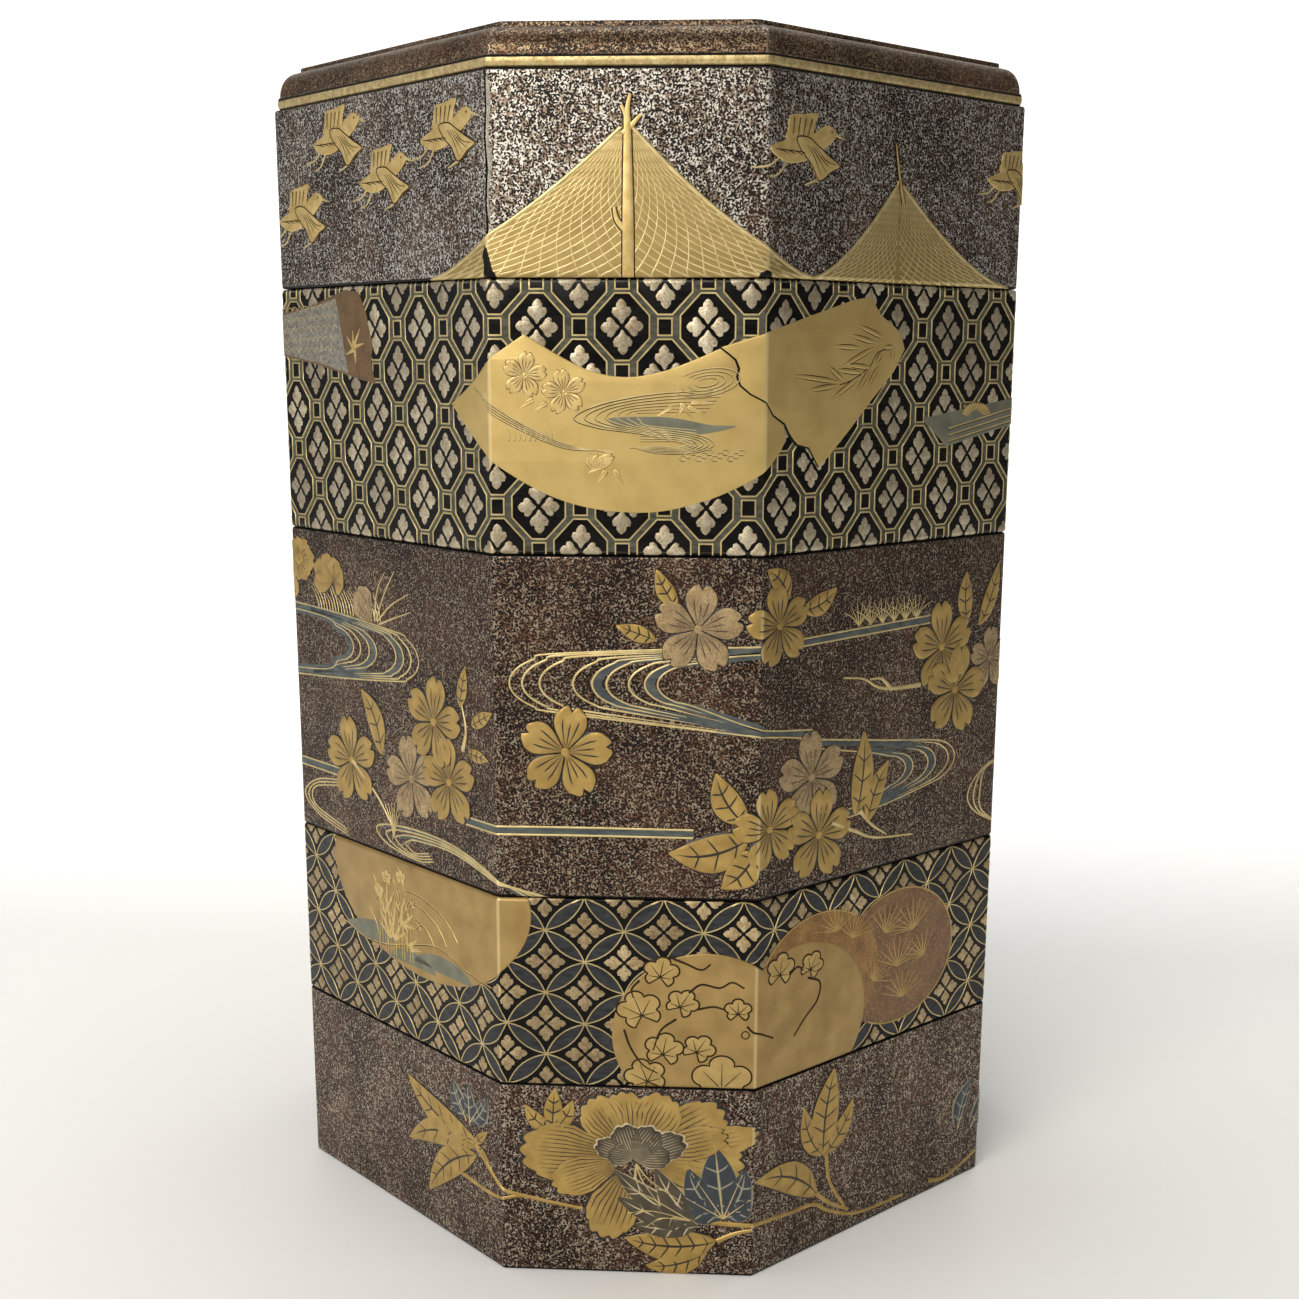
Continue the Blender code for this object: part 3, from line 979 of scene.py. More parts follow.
# The left fan slip's worn silvery ground, and the painted highlight beside the net box's crack
WORN_SILVER_AND_HIGHLIGHT = GoldLacquer("worn_silvery_ground_and_painted_highlight", "#A5A092", "#645E52", "#2E2A24", 1.6, 0.5, 0.3, 0.5, 0.4,
                          0.7)
BEAD_GOLD = GoldLacquer("worn_gold_bead", "#DCC893", "#A5884F", "#2A2018", 2.5, 0.8, 0.3, 0.7, 0.35, 0.35)
VINE_GOLD = GoldLacquer("pale_vine_leaf_gold", "#C0A468", "#A0844C", "#1A120A", 5.0, 0.5, 0.3)
LINE_GOLD = GoldLacquer("drawn_gold_line", "#DCC993", "#B59F6A", "#3A2E20", 4.0, 0.5, 0.2, 0.8, 0.4)


@dataclass(frozen=True)
class Ring:
    """One point of a section, in millimetres; the surface up to the next takes the face's finish."""

    inset: float
    height: float
    corner: float
    face: int = 1
    wear: float = 0.0


def arc(inset: float, height: float, across: float, up: float, start: float, end: float,
        steps: int) -> list[Point]:
    """Insets and heights along part of an oval about a centre; nought degrees points outwards and 90 up."""
    angles = [math.radians(start + (end - start) * step / steps) for step in range(steps + 1)]
    return [(inset - across * math.cos(angle), height + up * math.sin(angle)) for angle in angles]


def recess_rings(base: float) -> list[Ring]:
    """The recess under a piece, from its ceiling down to the foot."""
    return [Ring(FOOT_WALL, height, RECESS_CORNER) for height in (base + RECESS_DEPTH, base)]


def add_piece(name: str, mesh: bpy.types.Mesh, node: str | None = None) -> bpy.types.Object:
    """Shows a finished mesh as a piece of the object.

    Args:
        name: the piece's name.
        mesh: its mesh, in place and in metres.
        node: the solid that it stands for.

    Returns:
        The piece.
    """
    mesh.set_sharp_from_angle(angle=SHARP_ANGLE)
    piece = show(name, mesh)
    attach(piece, BODY)
    if node:
        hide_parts(node)
    LOG.info("%s: %d faces", name, len(mesh.polygons))
    return piece


def shell_mesh(name: str, plan: Plan, rings: Sequence[Ring], finishes: Sequence[Finish]) -> bpy.types.Mesh:
    """A closed body whose section is carried round the plan.

    Args:
        name: the mesh's name.
        plan: the octagon.
        rings: the section, from the underside, round the outside and down to the floor.
        finishes: what each face number stands for.

    Returns:
        The mesh, in metres.
    """
    loops = [plan.ring(ring.inset, ring.corner, ring.height) for ring in rings]
    count = len(loops[0][0])
    faces = [list(range(count))[::-1]]
    kinds = [1]
    for place in range(len(rings) - 1):
        low, high = place * count, (place + 1) * count
        faces += [[low + i, low + (i + 1) % count, high + (i + 1) % count, high + i] for i in range(count)]
        kinds += [rings[place].face] * count
    faces.append([(len(rings) - 1) * count + i for i in range(count)])
    kinds.append(1)
    mesh = bpy.data.meshes.new(name)
    mesh.from_pydata((np.vstack([points for points, _ in loops]) * MM).tolist(), [], faces)
    for finish in finishes:
        mesh.materials.append(finish.material())
    mesh.polygons.foreach_set("material_index", kinds)
    wear = [np.maximum(near * (ring.face == 0), ring.wear) for ring, (_, near) in zip(rings, loops)]
    set_mark(mesh, Mark.WEAR_AND_HIGHLIGHT, np.concatenate(wear))
    bm = bmesh.new()
    bm.from_mesh(mesh)
    bmesh.ops.recalc_face_normals(bm, faces=bm.faces)
    bm.to_mesh(mesh)
    bm.free()
    mesh.shade_smooth()
    return mesh


@dataclass
class Box:
    """A box of the stack: an open octagonal shell with a lip on top and a recess below."""

    node: str
    plan: Plan
    slot: Slot
    ground: Finish
    floor: float = 5.0
    floor_fillet: float = 3.0
    lip_inset: float = 4.5
    lip_height: float = 4.5
    lip_chamfer: float = 0.6
    lip_clearance: float = 0.5
    round_steps: int = 5
    bare_edge: float = 0.66
    wear_depths: tuple[tuple[float, float], ...] = ((1.6, 0.4), (4.5, 0.0))
    wall: Wall = field(init=False)

    def __post_init__(self) -> None:
        """Reads where the box stands from the frame."""
        low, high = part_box(self.node)
        base = low[2] / MM
        self.wall = Wall(self.plan, base, high[2] / MM - base - self.lip_height)

    def outer_rings(self) -> list[Ring]:
        """The outside from the foot to the rim, with rings beside both edges for the wear."""
        corner = self.plan.corner
        across = EDGE_ROUND - GROUND_INSET
        round_off = arc(EDGE_ROUND, EDGE_ROUND, across, EDGE_ROUND, -90, 0, self.round_steps)
        low = [(inset, up, 1.0) for inset, up in round_off]
        low += [(GROUND_INSET, EDGE_ROUND + depth, wear) for depth, wear in self.wear_depths]
        base, top = self.wall.base, self.wall.base + self.wall.height
        rings = [Ring(inset, base + up, corner - inset, 2 if up < self.bare_edge else 0, wear)
                 for inset, up, wear in low]
        rings += [Ring(inset, top - up, corner - inset, 2 if up <= self.bare_edge else 0, wear)
                  for inset, up, wear in reversed(low)]
        rings[-1] = Ring(rings[-1].inset, rings[-1].height, rings[-1].corner, 1, 1.0)
        return rings

    def rings(self) -> list[Ring]:
        """The whole section, from the recess under the floor round to the floor inside."""
        base, top = self.wall.base, self.wall.base + self.wall.height
        lip_top, lip_corner = top + self.lip_height, RECESS_CORNER - self.lip_clearance
        rings = recess_rings(base) + self.outer_rings()
        rings += [Ring(self.lip_inset, top, lip_corner),
                  Ring(self.lip_inset, lip_top - self.lip_chamfer, lip_corner),
                  Ring(self.lip_inset + self.lip_chamfer, lip_top, lip_corner),
                  Ring(WALL - self.lip_chamfer, lip_top, CAVITY_CORNER),
                  Ring(WALL, lip_top - self.lip_chamfer, CAVITY_CORNER)]
        fillet = self.floor_fillet
        floor_top = base + RECESS_DEPTH + self.floor
        inside = arc(WALL + fillet, floor_top + fillet, fillet, -fillet, 0, 90, self.round_steps)
        return rings + [Ring(inset, up, CAVITY_CORNER + WALL - inset) for inset, up in inside]

    def build(self) -> None:
        """Makes the lacquered shell and lays the decoration on it."""
        mesh = shell_mesh(f"{self.node}_body", self.plan, self.rings(), (self.ground, INSIDE, BLACK))
        add_piece(f"{self.node}_body", mesh, self.node)
        self.dress()

    def dress(self) -> None:
        """Lays this box's decoration; a plain box has none."""

    def lay(self, name: str, drawn: Relief | Lines, finish: Finish, flatness: float = 0.5,
            facets: int = 4) -> None:
        """Wraps a drawing round the wall and shows it.

        Args:
            name: what it shows, to which the box's name is added.
            drawn: the flat drawing.
            finish: its finish.
            flatness: how high lines stand, as a share of their radius.
            facets: how many points a line's half-round has.
        """
        name = f"{self.node}_{name}"
        if isinstance(drawn, Lines):
            mesh = drawn.mesh(name, finish.material(), flatness, facets)
        else:
            mesh = drawn.mesh(name)
            mesh.materials.append(finish.material())
        self.wall.lay(mesh)
        add_piece(name, mesh)

    def lay_shadowed(self, name: str, drawn: Lines, finish: Finish) -> None:
        """Lays drawn lines, each raised over its painted shadow: a wider dark copy moved down the wall."""
        # Painted shadow: a wider dark copy of each line, moved down so that it shows just below the line
        painted_shadows = Lines(drawn.height)
        painted_shadows.paths = [(path - (0.0, SHADOW_SHIFT), radii * SHADOW_WIDTH) for path, radii in drawn.paths]
        self.lay(f"{name}_grooves", painted_shadows, DARK_LINE_AND_SHADE, 0.2)
        self.lay(name, drawn, finish, 0.55)


@dataclass
class PatternBox(Box):
    """A box with a pattern in staggered rows that closes all round it."""

    columns: int = 32
    row_step: float = 13.4
    extra_rows: int = 3

    @property
    def pitch(self) -> float:
        """The way from one copy in a row to the next."""
        return self.plan.perimeter / self.columns

    def lay_pattern(self, name: str, form: Relief, finish: Finish, start: Point, turn: float = 0.0) -> None:
        """Repeats a form all round the box and shows it.

        Args:
            name: what it shows, to which the box's name is added.
            form: what is repeated, drawn round nought.
            finish: its finish.
            start: where the first copy lies.
            turn: how far a copy may be turned, in degrees.
        """
        name = f"{self.node}_{name}"
        values = {"Pitch": self.pitch, "Row step": self.row_step, "Columns": self.columns,
                  "Rows": int(self.wall.height / self.row_step) + self.extra_rows, "Start": (*start, 0.0),
                  "Turn": math.radians(turn), "Seed": PATTERN_SEED, "Finish": finish.material()}
        source = form.mesh(f"{name}_form")
        source.attributes.remove(source.attributes[Mark.TONE.value])
        mesh = repeat_tree().run(name, source, values)
        self.wall.lay(mesh)
        add_piece(name, mesh)


def four_petal_flower(reach: float, width: float, height: float, across_reach: float) -> Relief:
    """A flower of four three-lobed petals, for the patterns.

    Args:
        reach: the length of the upright petals.
        width: the width of a petal.
        height: how far it stands out.
        across_reach: the length of the level petals.

    Returns:
        The flower, round nought.
    """
    flower = Relief()
    half = width / 2
    for quarter in range(4):
        long = reach if quarter % 2 == 0 else across_reach
        outline = np.array([(0.25, 0.7), (half * 0.36, long * 0.26), (half * 0.78, long * 0.38),
                            (half, long * 0.52), (half * 0.88, long * 0.68), (half * 0.52, long * 0.7),
                            (half * 0.5, long * 0.82), (half * 0.26, long * 0.94), (0.0, long)])
        outline = np.vstack([outline, outline[-2::-1] * (-1, 1)])
        middle = np.array([0.0, long * 0.55])
        angle = quarter * math.pi / 2
        turned = np.array([[math.cos(angle), math.sin(angle)], [-math.sin(angle), math.cos(angle)]])
        count = len(outline)
        inner = middle + (outline - middle) * 0.72
        points = np.vstack([raised(outline @ turned, 0.0), raised(inner @ turned, height)])
        faces = [[i, (i + 1) % count, count + (i + 1) % count, count + i] for i in range(count)]
        faces.append([count + i for i in range(count)])
        flower.add(points, faces)
    return flower


@dataclass
class LatticeBox(PatternBox):
    """The second box: an octagon lattice with four-petal flowers on black, under pieces of torn fans."""

    first_flower: Point = (-1.5, -12.3)
    panel_half: Point = (8.2, 9.8)
    panel_side: Point = (2.2, 3.3)
    cell_half: Point = (2.1, 2.45)
    line_width: float = 0.65
    line_height: float = 0.14
    panel_height: float = 0.03
    flower_height: float = 0.16
    fan_height: float = 0.34
    tear: tuple[Point, ...] = ((32.5, 58.5), (33.5, 56), (33, 53.5), (34, 51), (37, 48.5), (42, 46),
                               (45, 42.2))

    def octagon(self) -> np.ndarray:
        """A panel's outline round nought."""
        (across, up), (short, tall) = self.panel_half, self.panel_side
        quarter = np.array([(across, tall), (short, up)])
        return np.vstack([quarter, quarter[::-1] * (-1, 1), -quarter, quarter[::-1] * (1, -1)])

    def fan_outlines(self) -> dict[str, np.ndarray]:
        """The pieces of torn fans at the front, the left and the right."""
        lower = [(50, 39.5), (50, 33.5), (42, 25.5), (30, 19), (20, 15.5), (10, 13.3), (0, 13), (-10, 14),
                 (-20, 16.5), (-30, 21), (-42, 28.5), (-55, 39), (-61.5, 45)]
        upper = [(-31, 66), (-20, 59.5), (-10, 55), (0, 53.5), (10, 55), (20, 58.5), (28, 62)]
        side = [(-61.5, 45), (-50, 52), (-42, 58.5), (-31, 66)]
        front = np.vstack([smooth_path(lower, 2.0), smooth_path(side, 3.0), smooth_path(upper, 2.0),
                           self.tear])
        right = [(28, 62.2), (42, 66.5), (60, 71.5), (80, 76.8), (88, 78), (93, 72.5), (98, 70), (103, 67),
                 (105, 62), (100, 55), (90, 46.5), (80, 37.5), (70, 29), (65.5, 26), (61, 32), (56, 33),
                 (50, 39.5), (45, 42.2)]
        slip = [(-176, 71.5), (-163, 73.5), (-140, 76.5), (-127, 78.6), (-123.5, 66), (-120.5, 53.6),
                (-140, 57), (-163, 60), (-176, 62.4)]
        left = [(-163, 74), (-140, 77), (-121, 81), (-113, 80), (-109, 73), (-105.5, 63), (-107, 58),
                (-104.5, 50.5), (-120, 53), (-140, 56.5), (-163, 59.5), (-176, 62), (-176, 72)]
        far = [(115, 40), (128, 30.5), (163, 37), (176, 39), (176, 48), (163, 46)]
        back = [(380, 20), (352, 42), (372, 60), (400, 64), (430, 63), (452, 57), (470, 40), (446, 26),
                (412, 17)]
        return {"front": front, "right": np.array(right + [*self.tear[-2::-1]]), "left": np.array(left),
                "far": np.array(far, float), "slip": np.array(slip), "back": smooth_path(back, 2.5, True)}

    def draw_stream(self, lines: Lines, wash: Relief) -> None:
        """Draws the stream on the front fan: swirls that turn back on themselves, over a grey wash."""
        for k in range(7):
            tight = 1 - 0.11 * k
            lines.stroke([(30 - k, 50 - 1.1 * k), (8, 48.5 - 0.9 * k), (-8 + 1.8 * k, 45.5 - 0.45 * k),
                          (-16 + 3.2 * k, 41.5), (-9 + 2.2 * k, 38.6 + 0.3 * k), (6, 36.5 + 0.45 * k),
                          (21, 33 + 0.8 * k)], (0.12, 0.26 * tight + 0.06, 0.14), 1.2)
        for k in range(6):
            lines.stroke([(4, 38.5 - 0.8 * k), (15, 37.6 - 0.6 * k), (24 - 1.4 * k, 35.8 - 0.3 * k),
                          (26 - 1.6 * k, 33.4), (20 - k, 31.2 + 0.3 * k), (9, 31 + 0.4 * k),
                          (1, 33 - 0.1 * k)], (0.12, 0.24, 0.12), 1.2)
        for k in range(4):
            lines.add(oval_path((24, 52), 10 - 2.2 * k, 3.9 - 0.9 * k, 160, 330, 10, 1.0),
                      (0.12, 0.24, 0.12))
            lines.stroke([(-50 + 2 * k, 50.5 - 0.6 * k), (-42, 45.5 - 0.8 * k), (-30, 38.5 - 0.6 * k),
                          (-18, 33.4 - 0.4 * k), (-4, 30.8 + 0.3 * k)], (0.14, 0.24, 0.1), 1.5)
        pool = [(-6, 41), (3, 41.8), (14, 41.5), (25, 39.5), (33, 39), (24, 36.8), (12, 36), (0, 37.6)]
        wash.plate(smooth_path(pool, 1.5, True), self.fan_height + 0.012, 0.3, foot=self.fan_height - SUNK)

    def draw_fans(self) -> None:
        """Lays the torn fans with what is drawn on them."""
        plates = {key: Relief() for key in ("front", "left", "far", "slip")}
        for key, outline in self.fan_outlines().items():
            home = plates.get(key, plates["front"])
            home.plate(outline, self.fan_height + 0.02 * (key == "slip"), 0.4, foot=-0.1)
        top, bed = self.fan_height, self.fan_height - SUNK
        flowers, lines, ink, wash = Relief(), Lines(bed), Lines(top - 0.05), Relief()
        blades, shine = Lines(top - 0.02), Lines(top + 0.02)
        flowers.blossom((-31, 54), 7.2, 80, 0.16, base=bed)
        flowers.blossom((-19, 49), 7.2, 100, 0.16, base=bed)
        for root, tip, width in (
                ((-28, 47), (-33, 44), 3), ((-24, 46), (-28, 43.5), 3), ((14, 45), (9, 42), 2.6),
                ((17, 45), (14.5, 41), 2.6), ((19, 46), (27, 46), 2.4), ((18, 45), (24, 42), 2.4),
                ((16, 46), (20, 41), 2.4), ((-6, 26), (-9, 22), 3), ((-4, 26), (-1, 21.5), 3),
                ((-7, 27), (-12, 25), 2.6)):
            flowers.leaf(root, tip, width, 0.0, 0, 0.14, base=bed)
        for u in (-11, -5, 0):
            flowers.petal((-9 + u * 0.2, 25.5), (-12 - u * 0.75, 30.5), 4.2, 0.13, base=bed, strength=0.6)
        for k in range(9):
            lines.stroke([(-36 + 1.6 * k, 34.5), (-35.5 + 1.6 * k, 36.5), (-36.8 + 1.7 * k, 39 + (k % 3))],
                         (0.2, 0.1))
        for k in range(12):
            middle = (17 + 1.6 * k, 29.6 + (k % 3) * 0.9)
            lines.add(oval_path(middle, 1.0, 0.8, 0, 300, 0, 0.6), (0.14, 0.22))
        self.draw_stream(lines, wash)
        tear = [(28, 62), (30.5, 60.2), *self.tear, (50, 39.5), (53, 35), (56, 33), (61, 32), (65.5, 26)]
        ink.add(np.array(tear), (0.3, 0.55, 0.3, 0.5, 0.25))
        for root, tip in (
                ((95.6, 65.2), (81.2, 69.5)), ((91.6, 63.7), (77.6, 66.4)), ((84.4, 62.3), (70.2, 62.8)),
                          ((91.6, 63.1), (73.6, 55.9)), ((94.4, 62.6), (100, 62.6)),
                ((89.2, 56.2), (77.2, 57.2)), ((85.6, 54.6), (71.6, 55.7)), ((76.8, 51.9), (68, 57.3)),
                ((76, 51.7), (51.1, 54.3)), ((74.4, 51.1), (59.5, 49.4)), ((85.6, 54.6), (69.2, 45.8)),
                ((93.2, 57.8), (86.8, 49.6)), ((94, 61.5), (90.8, 57)), ((99.6, 62.3), (98.4, 58)),
                ((89.6, 57), (81.6, 48.2))):
            blade = smooth_path([root, tip], 1.0)
            blades.add(blade, (0.15, 1.1, 1.0, 0.1))
            shine.add(blade, (0.05, 0.7, 0.6, 0.04))
        ink.stroke([(100, 62.5), (92, 61), (88, 56.5), (80, 52.5), (74, 51)], 0.3)
        for k in range(11):
            for v in (60, 63.5, 67, 70.5, 74):
                middle = (-164 + 3.4 * k + (v % 2) * 1.7, v + 0.12 * k)
                lines.add(oval_path(middle, 1.5, 1.6, 10, 160, 8, 0.9), 0.15)
        for tip in ((-117, 68), (-112.5, 68.5), (-121, 66), (-110.5, 63.5), (-122, 60), (-116, 57)):
            flowers.leaf((-116.5, 62), tip, 2.4, 0.1, 0, 0.14, base=bed)
        for shift in (1.2, 3.2, 5.4):
            lines.stroke([(128.5, 31 + shift), (163, 37.2 + shift), (176, 39.2 + shift)], 0.3, 3.0)
        for k in range(14):
            root, tip = (around((143, 40.5), 12 + 12 * k, across, up) for across, up in ((3, 1.5), (8, 4.6)))
            flowers.petal(root, tip, 1.5, 0.14, 1, 0.0, base=bed)
        self.lay("fans", plates["front"], FAN_GOLD)
        self.lay("left_fan", plates["left"], BROWN_GOLD)
        self.lay("left_fan_slip", plates["slip"], WORN_SILVER_AND_HIGHLIGHT)
        self.lay("right_slip", plates["far"], SLIP_GREY)
        self.lay("fan_wash", wash, SLIP_GREY)
        self.lay("fan_flowers", flowers, PALE_GOLD)
        self.lay_shadowed("fan_lines", lines, LINE_GOLD)
        self.lay("fan_ink", ink, INSIDE, 0.25)
        self.lay("bamboo_edges", blades, DARK_LINE_AND_SHADE, 0.08)
        self.lay("bamboo", shine, FAN_GOLD, 0.3)

    def dress(self) -> None:
        """Lays panels, gold lines and flowers in staggered rows."""
        (across, up) = self.cell_half
        cell = np.array([(-across, -up), (across, -up), (across, up), (-across, up)]) + (self.pitch / 2, 0.0)
        panels, lines = Relief(), Relief()
        for outline in (self.octagon(), cell):
            panels.add(raised(outline, self.panel_height), [list(range(len(outline)))])
            lines.ribbon(outline, self.line_width, self.line_height, closed=True)
        flower = four_petal_flower(reach=8.4, width=6.2, height=self.flower_height, across_reach=6.6)
        self.lay_pattern("panels", panels, BLACK, self.first_flower)
        self.lay_pattern("lattice_lines", lines, LINE_GOLD, self.first_flower)
        self.lay_pattern("lattice_flowers", flower, FLOWER_GOLD, self.first_flower, 2.5)
        self.draw_fans()


@dataclass
class RoundelBox(PatternBox):
    """The fourth box: interlaced circles with small flowers on black, under roundels of gold."""

    row_step: float = 10.65
    first_node: Point = (-1.0, 0.0)
    vesica_length: float = 16.2
    vesica_width: float = 4.6
    line_width: float = 0.55
    line_height: float = 0.13
    oval_height: float = 0.04
    flower_height: float = 0.15
    meadow_height: float = 0.36
    vine_height: float = 0.45
    leaf_height: float = 0.49

    def vesica(self, lean: float) -> np.ndarray:
        """A pointed oval between two nodes of the pattern, leaning to the right or left."""
        along = np.array([lean * self.pitch / 2, self.row_step])
        centre = along / 2
        along /= np.linalg.norm(along)
        shares = np.linspace(-1, 1, 9)
        spine = centre + np.outer(shares * self.vesica_length / 2, along)
        off = np.outer(self.vesica_width / 2 * (1 - shares ** 2), (-along[1], along[0]))
        return np.vstack([spine + off, (spine - off)[-2:0:-1]])

    def lobed_leaf(self, pale: Relief, dark: Lines, centre: Point, width: float, turn: float = 90.0) -> None:
        """Draws one round leaf of five lobes with a dark outline and veins.

        Args:
            pale: takes the leaf.
            dark: takes its outline and veins.
            centre: its middle.
            width: how wide it is.
            turn: the direction of its middle lobe, in degrees.
        """
        reach = width / 2
        leans = np.linspace(-150, 150, 61)
        radii = reach * (0.62 + 0.38 * np.abs(np.cos(2.5 * np.radians(leans))) ** 0.5)
        rim = [around(centre, turn + lean, radius, 0.86 * radius) for lean, radius in zip(leans, radii)]
        stalk = around(centre, turn, -0.3 * reach, -0.3 * reach)
        outline = np.array([*rim, stalk])
        pale.plate(outline, self.leaf_height, 0.35, foot=self.leaf_height - 0.12)
        dark.add(outline, 0.34, closed=True)
        for lean in (-120, -60, 0, 60, 120):
            tip = around(centre, turn + lean, reach * 0.72, reach * 0.62)
            dark.stroke([stalk, tip], (0.3, 0.16), 1.5)

    def draw_roundels(self) -> None:
        """Lays the gold roundels and what is engraved on them."""
        gold, brown, dull = Relief(), Relief(), Relief()
        for home, middle, across, up, height in (
                (gold, (-86, 58), 55, 33.5, self.meadow_height), (gold, (OPPOSITE - 86, 58), 52, 33, 0.36),
                (brown, (112, 30), 30, 24.5, 0.30), (brown, (420, 30), 27, 24.5, 0.30),
                (dull, (72, 30), 30, 24.5, 0.34), (gold, (63, 17), 32, 28.5, 0.40),
                (gold, (26, 18), 31, 28.5, self.vine_height), (gold, (455, 20), 30, 27, 0.40)):
            home.plate(oval_path(middle, across, up, step=2.0), height, 0.4)
        pale, dark, ink, plants = Relief(), Lines(self.vine_height), Lines(self.meadow_height), Relief()
        bed = self.meadow_height - SUNK
        for foot, tips in (
                ((-104, 34), ((-112, 44), (-108, 48), (-101, 49), (-97, 43), (-113, 39), (-96, 38))),
                ((-108, 42), ((-114, 52), (-107, 56), (-102, 52))),
                ((-99, 40), ((-96, 51), (-91, 46), (-90, 41))),
                ((-94, 33), ((-88, 38), (-86, 34), (-97, 39)))):
            for k, tip in enumerate(tips):
                plants.leaf(foot, tip, 3.0, 0.08 * (-1) ** k, 0, 0.14, base=bed)
        for eye in ((-107, 56), (-98, 58), (-112, 50)):
            for k in range(5):
                plants.petal(eye, around(eye, 20 + 72 * k, 3.4, 2.8), 2.4, 0.14, 1, 0.1, base=bed)
        for u, v, width, turn in (
                (11, 40, 12, 80), (4, 27, 15, 110), (18, 29.5, 11, 60), (36, 27.5, 9, 90),
                (12, 13.5, 13, 80), (23.5, 14, 11, 60), (31, 3, 20, 90), (6, 4, 14, 110), (53, 39, 13, 80),
                (68, 37, 11, 60), (447, 30, 14, 90), (464, 24, 12, 60), (452, 12, 15, 100)):
            self.lobed_leaf(pale, dark, (u, v), width, turn)
        for vine in (((4, 37), (1.5, 34), (2, 31)), ((-1, 20), (1, 14), (5, 8), (10, 5)),
                     ((16, 24), (11, 20), (8.5, 13)), ((23, 27.5), (28, 28.5), (32, 27.5)),
                     ((39, 22), (41, 20), (44, 19), (50, 16)),
                     ((20, 33), (24, 36), (30, 35), (34, 37), (38, 35)),
                     ((14, 45), (19, 43), (24, 41), (27, 43)),
                     ((66, 33), (72, 30), (71, 24), (65, 19), (60, 14)), ((57, 36), (61, 38), (64, 36)),
                     ((450, 38), (455, 33), (462, 30))):
            dark.stroke(vine, (0.42, 0.3), 1.2)
        dark.add(oval_path((38.5, 19), 1.3, 1.3, step=0.7), 0.22, closed=True)
        for k in range(26):
            u, v = -112 + 1.7 * (k % 13), 28 + 3.2 * (k % 3)
            lean = ((k * 37) % 11 - 5) * 1.3
            tall = 14 + (k * 23) % 15
            blade = [(u, v), (u + lean * 0.3, v + tall * 0.6), (u + lean, v + tall)]
            ink.stroke(blade, (0.28, 0.1))
        for eye in ((-107, 55), (-98, 58), (-92, 50), (-113, 48), (-101, 47), (-88, 43), (-96, 40)):
            for k in range(5):
                ink.stroke([eye, around(eye, 20 + 72 * k, 2.6, 2.2)], (0.3, 0.18), 1.0)
        for across, up, start in ((22, 16, 20), (30, 20, 25), (14, 11, 10)):
            ink.add(oval_path((-92, 34), across, up, start, 70), (0.16, 0.3, 0.16))
        shore = [(-135, 33), (-122, 30), (-108, 31), (-92, 35), (-76, 38), (-60, 34), (-46, 32)]
        ink.stroke(shore, 0.2, 2.0)
        needles = Lines(0.3)
        for u, v, size, base in (
                (105, 40, 9, 60), (120, 38, 10, 110), (112, 26, 10, 85), (126, 27, 8, 130), (99, 24, 8, 50),
                (115, 14, 9, 90), (88, 42, 9, 70), (80, 46, 8, 100), (415, 36, 11, 80), (428, 24, 10, 100)):
            for k in range(-4, 5):
                tip = around((u, v), base + 17 * k, 1.3 * size, 1.1 * size)
                needles.stroke([(u, v), tip], (0.3, 0.12), 2.0)
        for centre, start, sweep in (((112, 30), -120, 240), ((72, 30), 55, 95)):
            needles.add(oval_path(centre, 29.7, 24.2, start, sweep, step=2.0), 0.3)
        wash = Relief()
        for middle, across, up in ((-74, 17, 6), (-92, 14, 5)):
            hill = oval_path((middle, 29 + 0.1 * (middle + 74)), across, up, 0, 180)
            wash.plate(hill, 0.385, 0.3, foot=0.32)
        bank = [(-134, 33), (-124, 30.5), (-110, 31), (-100, 35), (-108, 38), (-122, 37)]
        wash.plate(smooth_path(bank, 2.0, True), 0.375, 0.3, foot=0.32)
        self.lay("roundels", gold, ROUNDEL_GOLD)
        self.lay("brown_roundels", brown, REDDISH_GOLD)
        self.lay("speckled_roundel", dull, DULL_GOLD)
        self.lay("roundel_wash", wash, SLIP_GREY)
        self.lay("vine_leaves", pale, VINE_GOLD)
        self.lay("vines", dark, DARK_LINE_AND_SHADE, 0.3)
        self.lay_shadowed("autumn_grasses", ink, PALE_GOLD)
        self.lay("autumn_plants", plants, PALE_GOLD)
        self.lay("pine_needles", needles, VINE_GOLD, 0.5)

    def dress(self) -> None:
        """Lays the pointed ovals, their gold lines and the flowers."""
        start = (self.first_node[0], self.first_node[1] - self.row_step)
        ovals, lines = Relief(), Relief()
        for lean in (-1.0, 1.0):
            outline = self.vesica(lean)
            ovals.add(raised(outline, self.oval_height), [list(range(len(outline)))])
            lines.ribbon(outline, self.line_width, self.line_height, closed=True)
        flower = four_petal_flower(reach=6.3, width=4.7, height=self.flower_height, across_reach=6.6)
        flower.points = [points + (self.pitch / 2, 0.0, 0.0) for points in flower.points]
        self.lay_pattern("ovals", ovals, SHIPPO_GREY, start)
        self.lay_pattern("circle_lines", lines, LINE_GOLD, start)
        self.lay_pattern("circle_flowers", flower, WARM_FLOWER_GOLD, start)
        self.draw_roundels()


